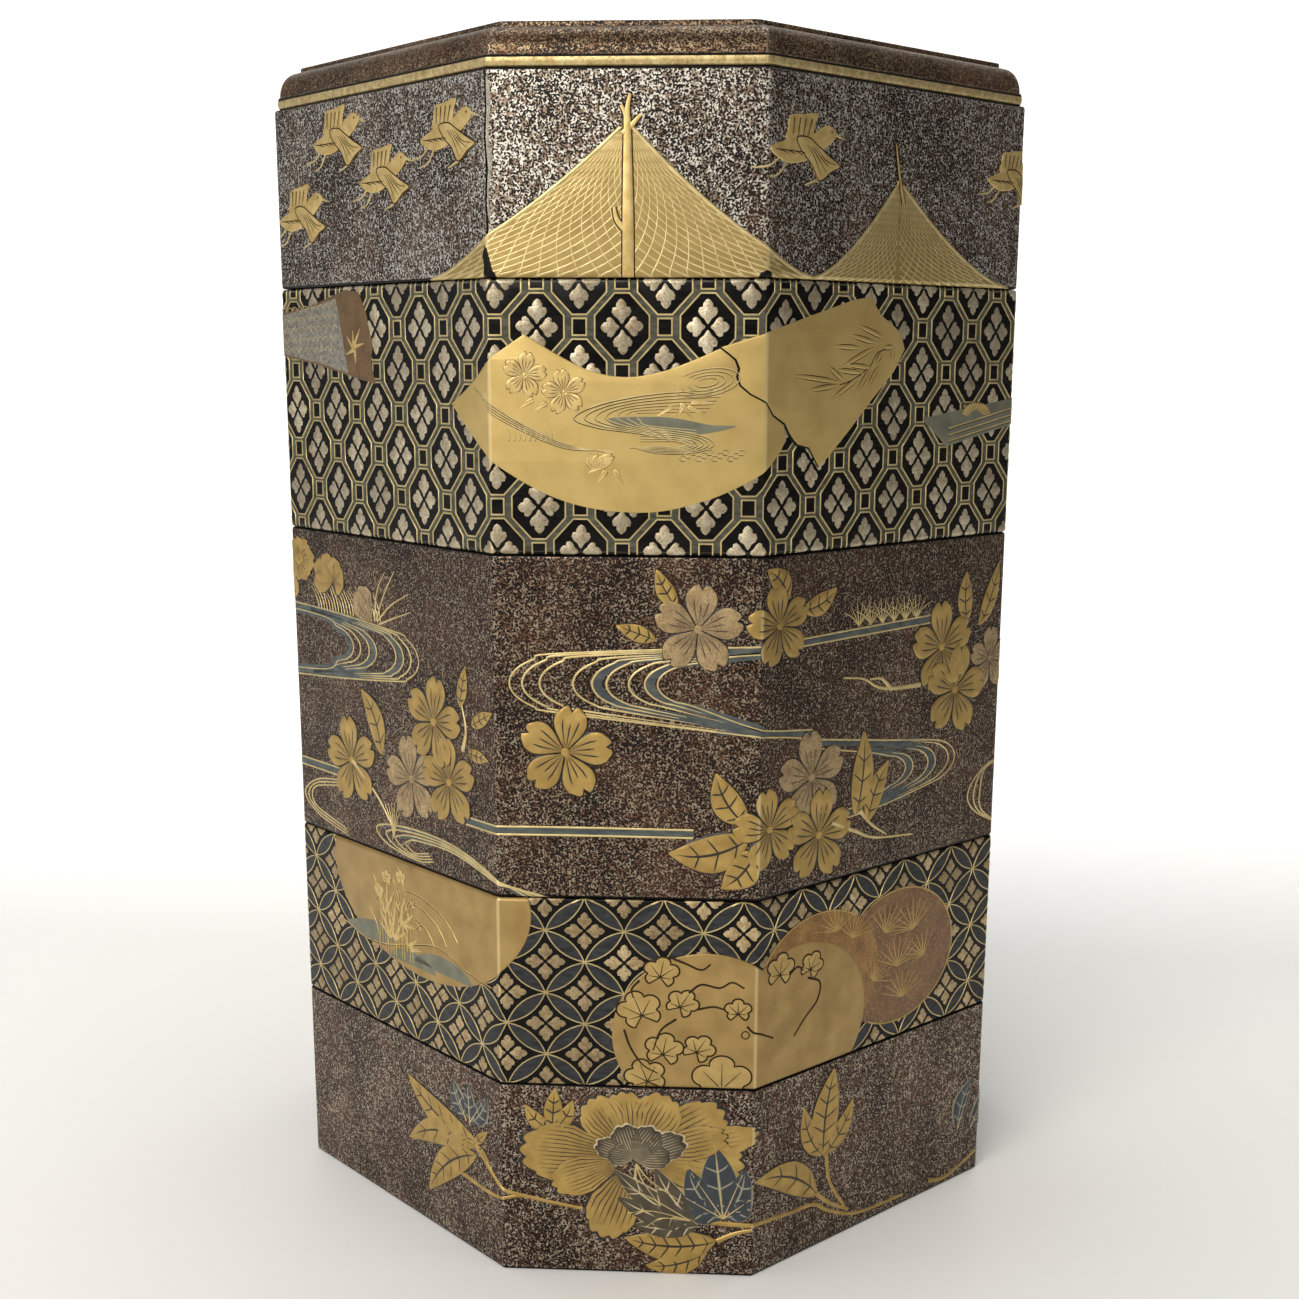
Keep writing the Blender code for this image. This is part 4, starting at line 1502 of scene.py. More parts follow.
@dataclass
class NetBox(Box):
    """The first box: fishing nets hung on poles to dry, and plovers flying over the shore."""

    net_height: float = 44.0
    net_curve: float = 1.52
    left_spread: float = 72.0
    right_spread: float = 63.0
    nets: tuple[float, ...] = (0.0, OPPOSITE)
    far_net_reach: Point = (40.0, 58.0)
    mesh_count: int = 11
    mesh_leans: Point = (-0.62, 0.95)
    far_net: Point = (100.0, 31.0)
    plovers: tuple[tuple[float, float, float], ...] = (
        (-124, 47, 1.0), (-97, 33, 0.95), (-62, 43, 0.95), (-148, 24, 1.0), (56, 38, 1.0), (157, 36, 0.9),
        (214, 40, 1.0), (243, 30, 0.9), (520, 42, 1.0), (548, 28, 0.95), (575, 40, 1.0))

    def flank(self, share: np.ndarray, spread: float, height: float) -> np.ndarray:
        """How far a net reaches from its pole at each share of its height."""
        return spread * (1 - np.clip(share, 0, 1) ** (1 / self.net_curve)) * (height > 0)

    def hang_net(self, plates: Relief, meshes: Lines, foot: float, height: float, left: float,
                 right: float) -> None:
        """Draws one net: its sheet with a border along both flanks, and its diamond mesh.

        Args:
            plates: takes the sheet.
            meshes: takes the mesh lines and borders.
            foot: where its pole stands.
            height: the height of its top.
            left: how far it reaches to the left at the foot.
            right: how far it reaches to the right.
        """
        shares = np.linspace(0, 1, 26)
        up = shares * height
        west = np.column_stack([foot - self.flank(shares, left, height), up])
        east = np.column_stack([foot + self.flank(shares, right, height), up])
        west[-1, 0], east[-1, 0] = foot - 0.9, foot + 0.9
        profile = ((west, 0.0, -0.1), (west, 0.25, 0.3), (east, -0.25, 0.3), (east, 0.0, -0.1))
        sheet = [raised(side + (inset, 0.0), out) for side, inset, out in profile]
        plates.grid(np.stack(sheet, 1))
        for edge in (west, east):
            meshes.add(edge[:-1], 0.55)
        down = np.linspace(0.04, 1.0, 24)
        for spread, way in ((left, -1), (right, 1)):
            for k in range(-self.mesh_count, self.mesh_count + 8):
                for lean in self.mesh_leans:
                    out = k / self.mesh_count + lean * down ** 1.3
                    keep = (out > 0.012) & (out < 0.985)
                    if keep.sum() < 3:
                        continue
                    v = height * (1 - down)
                    u = foot + way * out * self.flank(1 - down, spread, height)
                    meshes.add(np.column_stack([u, v])[keep], 0.1 + 0.19 * down[keep])

    def plover(self, gold: Relief, lines: Lines, ink: Lines, middle: Point, size: float) -> None:
        """Draws one plover in flight, its head to the right and its legs trailing.

        Args:
            gold: takes its body and wings.
            lines: takes its legs and beak.
            ink: takes the dark edges of its feathers.
            middle: where it flies.
            size: its size against the largest.
        """
        def at(u: float, v: float) -> Point:
            """A place on the bird."""
            return middle[0] + u * size, middle[1] + v * size

        far_wing = ((-7, 1.5), (-6.5, 4.5), (-5.5, 8.2), (0, 9), (6, 9.6), (4.8, 6.5), (3, 2.5))
        body = ((-14, -1.6), (-9, 0.6), (-3, 2.6), (3, 3.2), (6.5, 5), (10, 6.6), (13, 6), (14.4, 4.2),
                (12.6, 2.2), (9, -0.2), (4, -3), (-3, -5), (-9, -4.6))
        near_wing = ((-3, 2.2), (2, 2.6), (6, 0.6), (11, -2), (16, -4.6), (12, -6.6), (7, -9.4), (3.5, -5),
                     (-1, -1.4))
        for shape, height in ((far_wing, 0.3), (body, 0.38), (near_wing, 0.48)):
            gold.plate(smooth_path([at(*place) for place in shape], 1.0, True), height, 0.4)
        for k in range(4):
            for places, radius in (
                    (((0.4 + 1.2 * k, 1.2), (4.2 + 1.7 * k, -2.4 - 0.3 * k), (7.6 + 2.1 * k, -8 + 1.2 * k)),
                     (0.12, 0.26, 0.16)),
                    (((-4.6 + 2.1 * k, 3), (-4.4 + 2.3 * k, 5.5), (-4.2 + 2.5 * k, 7.8)), (0.1, 0.2)),
                    (((-12 + 3 * k, -1.6), (-9 + 3 * k, -1.8), (-6.5 + 3 * k, -2.6)), (0.1, 0.2, 0.1))):
                ink.stroke([at(*place) for place in places], radius)
        ink.stroke([at(*place) for place in near_wing], 0.2, 1.0, True)
        ink.stroke([at(11.6, 4.9), at(12.2, 4.9)], 0.3, 0.3)
        lines.stroke([at(13.2, 4.8), at(15.5, 3.9), at(18.5, 3.2)], (0.55, 0.15))
        for root, knee, foot in (((-8, -2), (-13, -6), (-19, -7)), ((-5, -2.6), (-10, -8.5), (-14, -9.5))):
            lines.stroke([at(*root), at(*knee), at(*foot)], (0.4, 0.25))
        lines.stroke([at(7, -9), at(4, -10), at(1, -11)], (0.5, 0.2))

    def dress(self) -> None:
        """Lays the nets, their poles and the birds, and the crack at the front's left corner."""
        plates, meshes, poles = Relief(), Lines(0.27), Lines(0.4)
        birds, limbs, ink = Relief(), Lines(0.02), Lines(0.44)
        for foot in self.nets:
            self.hang_net(plates, meshes, foot, self.net_height, self.left_spread, self.right_spread)
            poles.add(np.array([(foot + 0.35, 0.0), (foot + 0.3, 20.0), (foot + 0.1, 45.0)]),
                      (1.7, 1.6, 1.0))
            for twig in (((0, 43), (-0.4, 46), (-1.8, 48.5)), ((0, 43), (0.2, 48), (0.9, 51.5)),
                         ((-1.2, 40.5), (1, 42.5), (4, 45.8)), ((-0.8, 14), (-3.0, 16.5), (-3.8, 20))):
                poles.stroke([(foot + u, v) for u, v in twig], (0.95, 0.45))
        apex, top = self.far_net
        for foot in (apex, apex - OPPOSITE):
            self.hang_net(plates, meshes, foot, top, *self.far_net_reach)
            poles.stroke([(foot + 2, 24), (foot - 0.5, 33), (foot - 2.5, 42)], (0.7, 0.25))
        for u, v, size in self.plovers:
            self.plover(birds, limbs, ink, (u, v), size)
        self.lay("nets", plates, NET_GOLD)
        self.lay("net_meshes", meshes, LINE_GOLD, 0.3)
        shade = Lines(0.34)
        shade.paths = [(path, radii + 0.4) for path, radii in poles.paths]
        self.lay("poles_shade", shade, DARK_LINE_AND_SHADE, 0.05)
        self.lay("poles", poles, PALE_GOLD, 0.1, 6)
        self.lay("plovers", birds, PALE_GOLD)
        self.lay("plovers_limbs", limbs, LINE_GOLD, 0.6)
        self.lay("feathers", ink, DARK_LINE_AND_SHADE, 0.3)
        self.lay_crack()

    def lay_crack(self) -> None:
        """Lays the crack down the front's left corner, a pale strip beside it that is a painted highlight,
        and the chips.
        """
        edge = -self.plan.narrow / 2
        crack, worn, chips = Lines(0.0), Relief(), Relief()
        split = [(0.2, 59), (0.5, 48), (-0.2, 40), (0.6, 31), (-0.1, 22), (0.4, 14), (-0.4, 8)]
        crack.add(np.array(split) + (edge, 0.0), (0.5, 0.4, 0.55, 0.4, 0.7))
        # Painted highlight: a pale silvery strip just right of the crack
        strip = [(0.9, 57), (2.2, 50), (1.3, 41), (2.4, 33), (1.2, 24), (1.6, 15), (0.6, 20), (0.5, 38)]
        worn.plate(smooth_path(np.array(strip) + (edge, 0.0), 2.0, True), 0.03, 0.2, foot=-0.02)
        chip = [(-1.9, 0), (-1.4, 3.5), (-2.2, 6.5), (-0.8, 9.3), (0.3, 8.2), (1.3, 5.0), (1.9, 2.2),
                (3.6, 0.0)]
        chips.plate(np.array(chip) + (edge, 0.0), 0.42, 0.3)
        chips.plate(np.array([(38.5, 0), (39.6, 1.5), (41.5, 2.2), (43.2, 1.8), (44.3, 0)]), 0.42, 0.25)
        self.lay("crack", crack, BLACK, 0.3)
        self.lay("painted_highlight_strip", worn, WORN_SILVER_AND_HIGHLIGHT)
        self.lay("chips", chips, INSIDE)


@dataclass
class StreamBox(Box):
    """The third and tallest box: a winding stream, cherry blossom, and grasses on the bank."""

    blossoms: tuple[tuple[float, ...], ...] = (
        (-127.5, 30, 17, 98), (-76, 52, 16.5, 80), (-68, 33, 16, 95), (-19.5, 48, 16, 80), (130, 73, 17, 95),
        (138, 57, 17, 80), (47, 23, 14.5, 100), (70, 17, 16.5, 85), (50, 88, 14, 100))
    faded_blossoms: tuple[tuple[float, ...], ...] = ((-90, 30, 16, 100), (22, 87.5, 15, 84),
                                                     (66, 37, 16.5, 95), (157, 66, 12, 90))
    leaves: tuple[tuple[float, ...], ...] = (
        (-108, 35, -120, 57, 11, -0.12), (-61, 59, -57.5, 73, 6, 0.0), (-55, 54, -43.5, 60, 5.5, 0.0),
        (-57, 45, -46, 44, 5, 0.0), (9, 84, -3.5, 88.5, 6, 0.0), (15.5, 94, 9, 106, 6.5, 0.05),
        (54, 96, 44, 106, 9, -0.1), (60, 92, 76, 98, 8, -0.1), (38, 25, 28, 42, 11, 0.1),
        (39, 21, 13, 15.5, 14, 0.12), (41, 17, 30, 4, 12, 0.1), (88, 20, 91, 49, 12, -0.05),
        (94, 17, 104, 37, 10, 0.08), (143, 80, 142, 98, 9, 0.05), (150, 78, 160, 100, 8, -0.05))
    back_spray: tuple[tuple[float, ...], ...] = ((300, 62, 17, 90), (318, 42, 16, 70), (420, 55, 16, 95),
                                                 (520, 34, 16, 80), (536, 52, 15, 100))

    def add_stream(self, lines: Lines, bands: Relief) -> None:
        """Draws the stream: gold lines that turn back on themselves, with grey water between some."""
        def turn_back(tip: Point, upper: Point, lower: Point, tall: float,
                      ends: tuple[Point, Point]) -> np.ndarray:
            """A line in along the upper run, round its tip and out along the lower run."""
            (u, v) = tip
            way = math.copysign(1.0, upper[0] - u)
            upper, lower = ((u + way * max(abs(end[0] - u), 3.4 * tall), end[1]) for end in (upper, lower))
            across = way * 2.2 * tall
            bow = [around((u + across, v), degrees, -across, tall) for degrees in range(75, -76, -25)]
            return smooth_path([*ends[:1], upper, *bow, lower, *ends[1:]], 1.5)

        def reach(k: int, last: int, first: Point, second: Point) -> tuple[Point, ...]:
            """The far ends of a line, which only the outer, middle and inner ones run on to."""
            part = k / last
            if k not in (0, last):
                return ()
            return (first[0], first[1] - 2.6 * part), (second[0], second[1] + 2.8 * part)

        for tips, v, upper, lower, tall, first, second in (
                ((-37.0, -33.0, -27.5, -17.0, -11.0, -6.5, 0.5, 5.5, 9.5), 70.0, (44.0, 82.3),
                 (42.0, 53.6), 9.8, (128.0, 84.6), (66.0, 50.0)),
                ((-84.0, -88.5, -93.0, -97.5, -109.5, -114.0, -119.5, -124.0), 71.0, (-150.0, 82.5),
                 (-150.0, 57.5), 8.8, (-240.0, 84.0), (-240.0, 52.0)),
                ((139.5, 136.0, 129.0, 125.0, 117.0, 113.0), 33.0, (106.0, 43.6), (100.0, 21.5), 8.0,
                 (60.0, 50.5), (76.0, 20.0))):
            last = len(tips) - 1
            for k, tip in enumerate(tips):
                share = k / last
                ends = reach(k, last, first, second)
                path = turn_back((tip, v), (upper[0], upper[1] - 2.4 * share),
                                 (lower[0], lower[1] + 2.4 * share), tall * (1 - 0.28 * share), ends)
                lines.add(path, 0.28 if k in (0, last) else (0.06, 0.1, 0.3, 0.34, 0.3, 0.1, 0.06))
                if k in (4, 7) or (last < 8 and k == 2):
                    bands.ribbon(path + (math.copysign(1.8, upper[0] - tip), 0.0), 3.4, 0.05)
            for end, near, shift in ((first, upper, -1.3), (second, lower, 1.4)):
                way = math.copysign(14.0, tips[0] - end[0])
                level = near[1] + shift * 0.9
                run = [(near[0] + way, level), (near[0], level), (end[0], end[1] + shift)]
                bands.ribbon(smooth_path(run, 3.0), 2.2, 0.04)
        for low, high, start, end in ((20.6, 23.2, -60.0, 21.0), (22.6, 25.4, -215.0, -118.0),
                                      (60.0, 63.0, 300.0, 520.0), (30.0, 32.6, 250.0, 330.0)):
            run = np.array([(start, low), ((start + end) / 2, low + 0.2), (end, low)])
            for lift in (0.0, high - low):
                lines.stroke(run + (0.0, lift), 0.32, 3.0)
            bands.ribbon(smooth_path(run + (0.0, (high - low) / 2), 3.0), high - low, 0.05)
        for k in range(4):
            whirl = [(-30.0 + 3 * k, -1.0), (-46.0 + 2 * k, 6.5 - k), (-66.0, 11.5 - 0.8 * k),
                     (-88.0, 12.4 - 1.2 * k), (-108.0 + 5 * k, 10.5 - k), (-113.0 + 6 * k, 7.5 - 0.4 * k),
                     (-105.0 + 5 * k, 3.5 + 0.2 * k), (-88.0, 1.8 + 0.8 * k), (-78.0 - k, 3.4 + 0.8 * k)]
            lines.stroke(whirl, (0.3, 0.38, 0.25), 1.5)
            if k in (0, 2):
                bands.ribbon(smooth_path(np.array(whirl[:5]) - (0.0, 0.6), 1.5), 1.3, 0.05)
        for k in range(3):
            left = [(-134.0, 21.5 - k), (-152.0, 18.5 - 1.2 * k), (-161.0 + 2.5 * k, 12.0),
                    (-152.0, 5.5 + 1.2 * k), (-132.0, 1.5 + k)]
            right = [(172.0, 31.0 - k), (156.0 + k, 26.0), (148.0 + 3.5 * k, 18.0), (152.0 + 2 * k, 11.0),
                     (166.0, 4.0)]
            for swirl in (left, right):
                lines.stroke(swirl, (0.25, 0.38, 0.25), 1.5)

    def add_bank(self, lines: Lines, gold: Relief, faded: Relief) -> None:
        """Draws the bank's plants at the upper left, the grasses and the bare twigs."""
        middle = (-158.0, 99.0)
        for k in range(7):
            gold.petal(middle, around(middle, 51 * k, 11, 8.25), 9.0, 0.35, 3, 0.1, tone=0.2 * (k % 2))
        gold.plate(oval_path(middle, 2.6, 2.2, step=0.9), 0.5, 0.5)
        for k in range(6):
            tip = around((-139.0, 94.0), -20 + 44 * k, 11, 8.5)
            gold.petal((-135.0, 94.0), tip, 9.5, 0.36, 1, 0.0, tone=0.15 * (k % 2))
        faded.petal((-112, 81), (-121, 92), 15.0, 0.25, 5, 0.0, 3, 0.05, strength=0.5)
        gold.petal((-168, 84), (-160, 92), 10.0, 0.3, 3, 0.0)
        for k in range(22):
            u = -146 + 1.9 * k
            blade = [(u, 82.5 - 0.05 * k), (u - 1.2, 86), (u - 4.2 - k % 3, 89.5 + k % 4)]
            lines.stroke(blade, (0.22, 0.1))
        for root, bend, tip in (((-109, 82), (-104, 91), (-97, 100)), ((-108, 82), (-100, 88), (-89, 93)),
                                ((-110, 82), (-108, 92), (-103, 99)), ((-107, 81), (-98, 84), (-88, 87))):
            lines.stroke([root, bend, tip], (0.42, 0.15))
        for k in range(6):
            foot = 87 + 5.8 * k
            for lean in (-7.5, -4, -1.2, 1.6, 4.4, 7.6):
                blade = [(foot, 84.3), (foot + lean * 0.45, 87.5), (foot + lean, 93 - abs(lean) * 0.5)]
                lines.stroke(blade, (0.26, 0.1))
        for lean in (-5, -3, -1, 1, 3, 5):
            blade = [(-102, 7), (-102 + lean * 0.4, 13), (-102 + lean, 20 - abs(lean) * 0.4)]
            lines.stroke(blade, (0.34, 0.12))
        for twig in (((119, 61), (105, 61.5), (97, 63), (90, 66.5), (80, 68)),
                     ((104, 61.5), (99, 65.5), (93, 66)), ((76, 20), (88, 15), (98, 11), (118, 8.5)),
                     ((90, 22), (96, 16), (104, 11)), ((-127, 30), (-112, 20), (-103, 11)),
                     ((-60, 45), (-58, 52), (-60, 60))):
            lines.stroke(twig, (0.9, 0.5, 0.3))

    def dress(self) -> None:
        """Lays the stream, the blossoms, their leaves and the bank."""
        water, bands, twigs, gold, faded = Lines(0.0), Relief(), Lines(0.05), Relief(), Relief()
        self.add_stream(water, bands)
        for root_u, root_v, tip_u, tip_v, width, bend in self.leaves:
            gold.leaf((root_u, root_v), (tip_u, tip_v), width, bend, 3, 0.34, tone=0.15)
        for u, v, radius, turn in self.faded_blossoms:
            faded.blossom((u, v), radius, turn, 0.26, strength=0.55)
        for place, (u, v, radius, turn) in enumerate(self.blossoms + self.back_spray):
            gold.blossom((u, v), radius, turn, 0.46 if place % 2 else 0.4, tone=0.1 * (place % 3))
        for u, v, _, _ in self.back_spray:
            for root, tip, width, bend in (((8, 6), (24, 15), 7, 0.1), ((-8, -6), (-22, -14), 8, -0.1)):
                gold.leaf((u + root[0], v + root[1]), (u + tip[0], v + tip[1]), width, bend, 3, 0.3)
        self.add_bank(twigs, gold, faded)
        self.lay("water", bands, STREAM_GREY)
        self.lay("water_lines", water, LINE_GOLD, 0.4)
        self.lay("faded_blossoms", faded, FADED_GOLD)
        self.lay("blossoms", gold, BRIGHT_GOLD)
        self.lay("grasses", twigs, LINE_GOLD, 0.5)


@dataclass
class PeonyBox(Box):
    """The lowest box: a tree peony in full bloom with its leaves, gold and blue-grey."""

    middles: Point = (0.0, OPPOSITE)

    def spray(self, gold: Relief, heart: Relief, grey: Relief, veins: Lines, stems: Lines, u: float) -> None:
        """Draws the peony and its leaves.

        Args:
            gold: takes the petals and gold leaves.
            heart: takes the striated petals in the middle.
            grey: takes the blue-grey leaves.
            veins: takes the gold veins on them.
            stems: takes the stems.
            u: where its middle is along the wall.
        """
        middle = (u + 2, 42)
        for tip, width, lines, height in (
                ((-13, 63), 17, 9, 0.30), ((-2, 66), 16, 8, 0.26), ((14, 65), 18, 9, 0.30),
                ((33, 60), 19, 8, 0.28), ((46, 52), 12, 6, 0.24), ((-37, 44), 23, 13, 0.34),
                ((-26, 31), 15, 9, 0.38), ((40, 40), 20, 7, 0.26), ((-9, 12), 19, 8, 0.32),
                ((30, 34), 16, 6, 0.24), ((34, 51), 13, 7, 0.36)):
            end = (u + tip[0], tip[1])
            far = math.dist(end, middle)
            start = tuple(near + (place - near) * 7 / far for near, place in zip(middle, end))
            gold.petal(start, end, width, height, lines, 0.0, 4, 0.07, 0.35, 0.66, 0.8,
                       tone=0.1 * (lines % 3), strength=0.85, line_from=0.06)
        for tip, width, lines in (((-11, 47), 9, 7), ((-2, 54), 12, 9), ((10, 53), 12, 9), ((20, 49), 12, 9),
                                  ((-7, 43), 8, 7), ((15, 43), 10, 8)):
            heart.petal(middle, (u + tip[0], tip[1]), width, 0.4, lines, 0.0, 3, 0.06, 0.2, 0.7, 0.92,
                        line_from=0.06, base=0.1, strength=0.8)
        for root, tip, width, bend, count, height in (
                ((30, 12.5), (-1, 13), 13, 0.08, 6, 0.36), ((27, 9), (6, 3), 9, 0.1, 4, 0.34),
                ((-25, 51), (-24, 66), 7, 0.0, 3, 0.3), ((-25, 51), (-34, 60), 6, 0.1, 2, 0.28),
                ((-25, 51), (-18, 62), 6, -0.1, 2, 0.28), ((74, 19), (43, 34), 13, -0.12, 3, 0.36),
                ((76, 33), (81, 64), 15, 0.05, 5, 0.4), ((76, 33), (66, 54), 9, 0.1, 3, 0.36),
                ((76, 33), (91, 50), 9, -0.1, 3, 0.36), ((-57, 41), (-98, 53), 13, 0.1, 5, 0.38),
                ((-57, 39), (-98, 28), 12, -0.1, 4, 0.36), ((-57, 36), (-86, 12), 13, -0.1, 5, 0.36),
                ((-58, 40), (-50, 47), 4, 0.0, 1, 0.34), ((-58, 40), (-49, 36), 4, 0.0, 1, 0.34)):
            gold.leaf((u + root[0], root[1]), (u + tip[0], tip[1]), width, bend, count, height, tone=0.1)
        for root, tip, width, bend in (
                ((32, 21), (29, 47), 14, 0.0), ((32, 21), (20, 39), 11, 0.1), ((32, 21), (39, 39), 11, -0.1),
                ((32, 21), (18, 29), 10, 0.1), ((32, 21), (42, 29), 8, -0.1), ((-62, 47), (-70, 60), 9, 0.1),
                ((-60, 47), (-50, 60), 8, -0.1), ((-60, 46), (-61, 61), 7, 0.0),
                ((150, 20), (158, 38), 10, 0.1), ((158, 18), (168, 34), 10, -0.1)):
            foot, end = np.array(root) + (u, 0.0), np.array(tip) + (u, 0.0)
            grey.leaf(tuple(foot), tuple(end), width, bend, 3, 0.42)
            veins.stroke([foot, (foot + end) / 2, end * 0.9 + foot * 0.1], (0.3, 0.12))
        for tip, width in (((-5, 38), 9), ((-4, 28), 9), ((2, 18), 8), ((9, 39), 9)):
            heart.leaf((u + 24, 18), (u + tip[0], tip[1]), width, 0.06, 3, 0.4, base=0.02)
        for tip in ((-2, 32), (0, 22), (6, 17), (14, 18)):
            x, v = tip
            for vein in (((21, 20), ((21 + x) / 2 - 2, (20 + v) / 2 + 2), tip),
                         ((3, 40), (3 + x / 3, 34), (x + 5, v + 8))):
                veins.stroke(np.array(vein) + (u, 0.0), (0.3, 0.15))
        for stem in (((21, 20), (32, 19), (50, 18), (60, 17), (72, 16), (80, 11), (95, 5), (120, 3.5)),
                     ((134, 4), (145, 2.5), (164, 8)), ((73, 20), (80, 14), (90, 8)),
                     ((78, 33), (80, 22), (88, 10)), ((30, 12.5), (36, 15.5), (42, 17)),
                     ((-57, 40), (-44, 30), (-30, 26), (-15, 23)), ((-73, 27), (-50, 25), (-36, 27))):
            stems.stroke([(u + x, v) for x, v in stem], (0.9, 0.7, 0.55))

    def dress(self) -> None:
        """Lays the peony at the front and a plainer one at the back."""
        gold, heart, grey, veins, stems = Relief(), Relief(), Relief(), Lines(0.36), Lines(0.0)
        for middle in self.middles:
            self.spray(gold, heart, grey, veins, stems, middle)
        self.lay("stems", stems, BRIGHT_GOLD, 0.4, 5)
        self.lay("petals", gold, BRIGHT_GOLD)
        self.lay("heart", heart, HEART_GOLD)
        self.lay("grey_leaves", grey, SILVER_GREY)
        self.lay("veins", veins, LINE_GOLD, 0.4)


@dataclass
class Lid:
    """The lid: a gold bead at the rim, a convex shoulder, a small step and a flat top."""

    plan: Plan
    node: str = "lid"
    slot: Slot = Slot.SPRINKLED
    setback: float = 1.6
    corner: float = 1.8
    bead_height: float = 4.0
    bead_round: float = 0.8
    bead_faces: tuple[int, ...] = (1, 2, 2, 2, 2, 1, 0, 0, 0)
    shoulder_run: float = 6.2
    shoulder_rise: float = 8.2
    shoulder_steps: int = 14
    ledge: float = 0.6
    ledge_wear: float = 0.5
    step_rise: float = 1.8
    step_round: float = 0.6
    step_steps: int = 3
    step_wear: float = 0.6
    clean_from: float = 5.0
    panel: float = 5.0

    def rings(self, base: float) -> list[Ring]:
        """The lid's section, from its hollow underside round the bead and over to its flat top."""
        foot = self.setback + self.bead_round
        half_bead = self.bead_height / 2
        bead_top = base + self.bead_height
        shoulder_head = foot + self.shoulder_run
        ledge_height = bead_top + self.shoulder_rise
        ledge_inset = shoulder_head + self.ledge
        top = ledge_height + self.step_rise
        small = self.step_round
        rings = [Ring(WALL, top - self.panel, CAVITY_CORNER), Ring(WALL, base + RECESS_DEPTH, CAVITY_CORNER)]
        rings += recess_rings(base)
        bead = arc(foot, base + half_bead, self.bead_round, half_bead, -90, 90, len(self.bead_faces) - 1)
        rings += [Ring(*place, self.corner, face) for place, face in zip(bead, self.bead_faces)]
        run, rise = self.shoulder_run, self.shoulder_rise
        shoulder = arc(shoulder_head, bead_top, run, rise, 0, 90, self.shoulder_steps)
        rings += [Ring(*place, self.corner, 0) for place in shoulder]
        rings.append(Ring(ledge_inset, ledge_height, self.corner, 0, self.ledge_wear))
        step = arc(ledge_inset + small, top - small, small, small, 0, 90, self.step_steps)
        rings += [Ring(*place, self.corner, 0, self.step_wear) for place in step]
        rings.append(Ring(ledge_inset + self.clean_from, top, self.corner))
        return rings

    def build(self) -> None:
        """Makes the lid's shell."""
        low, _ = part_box(self.node)
        finishes = (BROWN_NASHIJI, INSIDE, BEAD_GOLD)
        mesh = shell_mesh("lid_body", self.plan, self.rings(low[2] / MM), finishes)
        mesh.polygons[len(mesh.polygons) - 1].material_index = 0
        add_piece("lid_body", mesh, self.node)


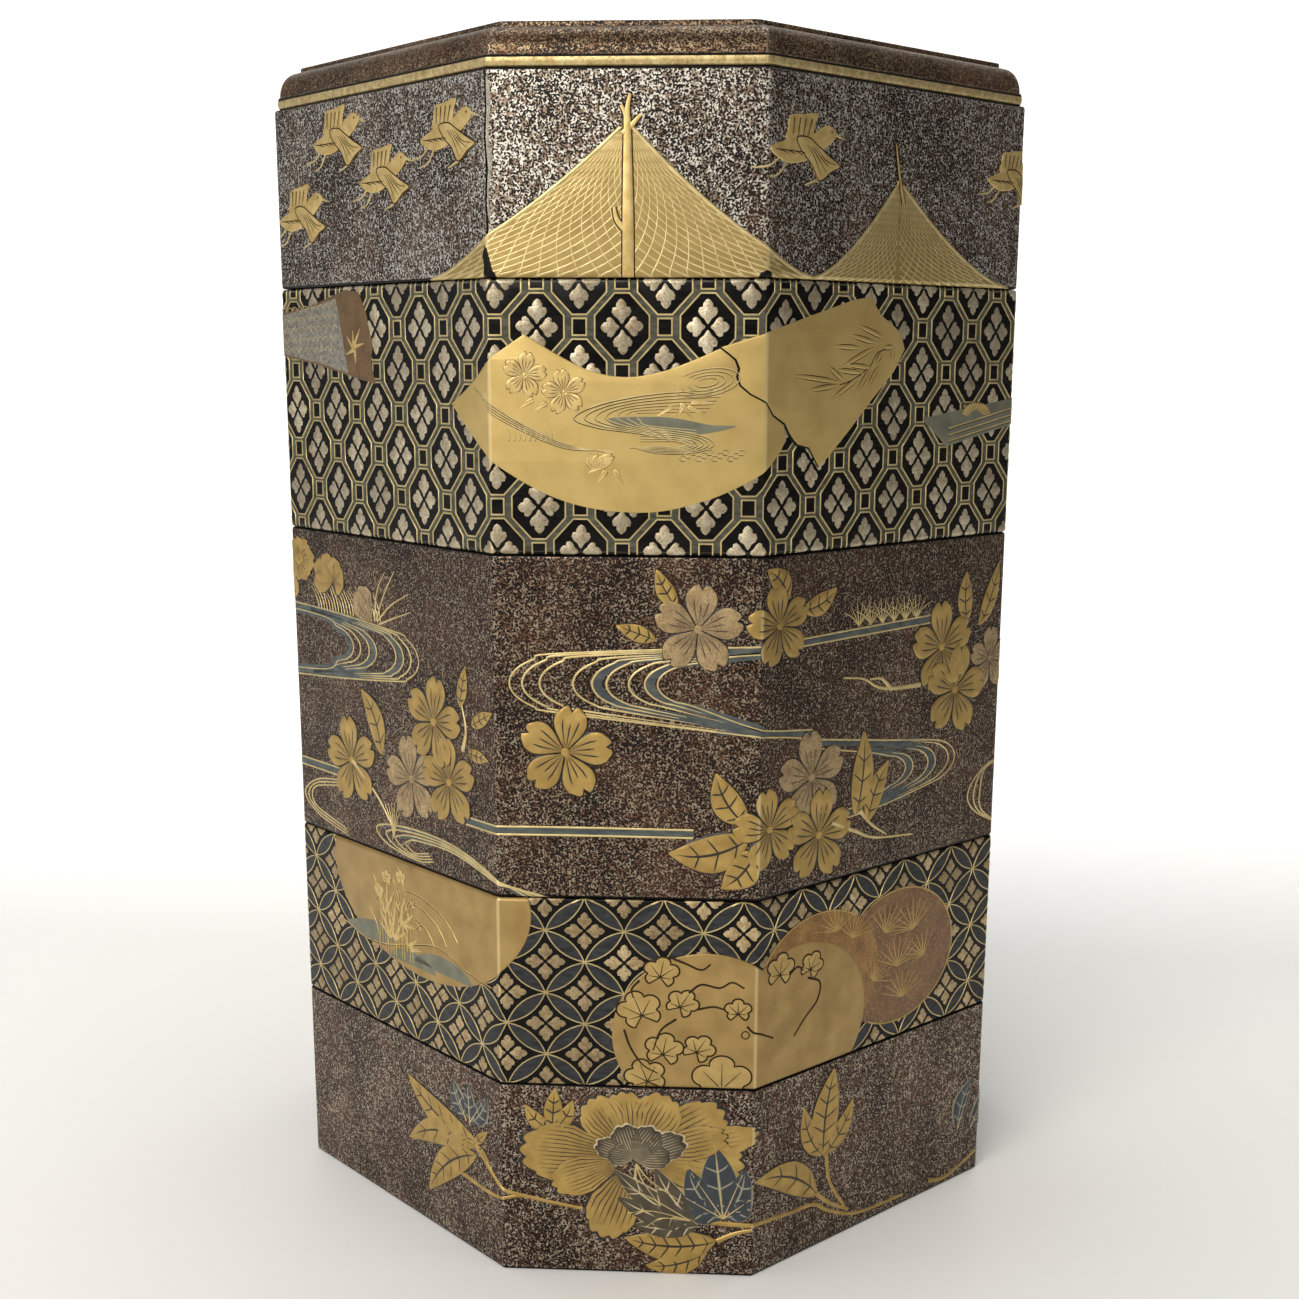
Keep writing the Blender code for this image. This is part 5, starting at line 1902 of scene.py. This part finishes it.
@dataclass(frozen=True)
class Studio:
    """A pale sweep, soft lights and the camera, fitted to the photograph, in metres and degrees."""

    place: tuple[float, float, float] = (0.0375, -0.6495, 0.3002)
    pitch: float = 12.357
    yaw: float = -3.339
    roll: float = 0.149
    focal_pixels: float = 1709.2
    frame_pixels: float = 1299.0
    centre_row: float = 735.0
    sensor: float = 36.0
    floor_colour: str = "#F8F7F4"

    def add_camera(self) -> None:
        """Places the camera, whose shift takes up part of the photograph's crop."""
        pitch, yaw, roll = (math.radians(value) for value in (self.pitch, self.yaw, self.roll))
        forward = Vector((math.sin(yaw) * math.cos(pitch), math.cos(yaw) * math.cos(pitch),
                          -math.sin(pitch)))
        right = Vector((math.cos(yaw), -math.sin(yaw), 0.0))
        up = right.cross(forward)
        across = right * math.cos(roll) + up * math.sin(roll)
        over = up * math.cos(roll) - right * math.sin(roll)
        data = bpy.data.cameras.new("camera")
        data.sensor_width = self.sensor
        data.lens = self.focal_pixels * self.sensor / self.frame_pixels
        data.shift_y = (self.centre_row - self.frame_pixels / 2) / self.frame_pixels
        camera = show("camera", data)
        turn = Matrix((across, over, -forward)).transposed().to_4x4()
        camera.matrix_world = Matrix.Translation(self.place) @ turn
        bpy.context.scene.camera = camera

    def add_light(self, name: str, place: Sequence[float], size: Sequence[float], power: float, colour: str,
                  aim: Sequence[float] = (0.0, 0.0, 0.2)) -> None:
        """Adds one soft rectangular light, aimed at a point.

        Args:
            name: what it is.
            place: its centre.
            size: its width and height.
            power: in watts.
            colour: of its light.
            aim: what it faces.
        """
        data = bpy.data.lights.new(name, "AREA")
        data.shape = "RECTANGLE"
        data.size, data.size_y = size
        data.energy = power
        data.color = linear(colour)[:3]
        light = show(name, data)
        toward = Vector(aim) - Vector(place)
        light.matrix_world = Matrix.Translation(place) @ toward.to_track_quat("-Z", "Y").to_matrix().to_4x4()
        light.visible_camera = False

    def add_sweep(self) -> None:
        """Lays a floor that curves up into a backdrop, so that no edge shows behind the stack."""
        half, front, back, bend, tall = 3.0, -3.0, 1.0, 0.7, 2.6
        profile = [(front, 0.0), (back, 0.0)]
        profile += [(back + bend * math.sin(angle), bend * (1 - math.cos(angle)))
                    for angle in np.linspace(0, math.pi / 2, 13)[1:]]
        profile.append((back + bend, tall))
        mesh = bpy.data.meshes.new("sweep")
        points = [(side * half, y, z) for y, z in profile for side in (-1, 1)]
        mesh.from_pydata(points, [], [[2 * i, 2 * i + 1, 2 * i + 3, 2 * i + 2]
                                      for i in range(len(profile) - 1)])
        mesh.shade_smooth()
        paper = bpy.data.materials.new("pale_paper")
        paper.use_nodes = True
        shader = paper.node_tree.nodes["Principled BSDF"]
        shader.inputs["Base Color"].default_value = linear(self.floor_colour)
        shader.inputs["Roughness"].default_value = 0.9
        mesh.materials.append(paper)
        sweep = show("sweep", mesh)

    def build(self) -> None:
        """Sets up the sweep, the lights and the camera."""
        scene = bpy.context.scene
        scene.view_settings.view_transform = "Standard"
        world = bpy.data.worlds.new("world")
        world.use_nodes = True
        background = world.node_tree.nodes["Background"]
        background.inputs[0].default_value = linear("#F0EFEE")
        background.inputs[1].default_value = 0.2
        scene.world = world
        self.add_sweep()
        self.add_light("key", (-0.72, -1.6, 1.0), (1.3, 0.9), 24.0, "#FFFAF2")
        self.add_light("left_fill", (-1.5, -0.3, 0.6), (1.2, 1.2), 3.0, "#ECF0FA")
        self.add_light("top", (0.0, 0.2, 2.0), (1.8, 1.4), 19.0, "#FFFFFF")
        self.add_light("backdrop", (0.0, 0.5, 0.9), (2.4, 0.8), 17.0, "#FFFFFF", (0.0, 1.7, 0.5))
        self.add_camera()


def main() -> None:
    """Builds the studio and every piece of the stack."""
    logging.basicConfig(level=logging.INFO, format="%(name)s %(message)s")
    plan = Plan()
    Studio().build()
    PeonyBox("peony_box", plan, Slot.SPRINKLED, SOFT_NASHIJI).build()
    RoundelBox("roundel_box", plan, Slot.PATTERNED, BLACK).build()
    StreamBox("stream_box", plan, Slot.SPRINKLED, DARK_NASHIJI).build()
    LatticeBox("lattice_box", plan, Slot.PATTERNED, BAND).build()
    NetBox("net_box", plan, Slot.SPRINKLED, PALE_NASHIJI).build()
    Lid(plan).build()


if __name__ == "__main__":
    main()
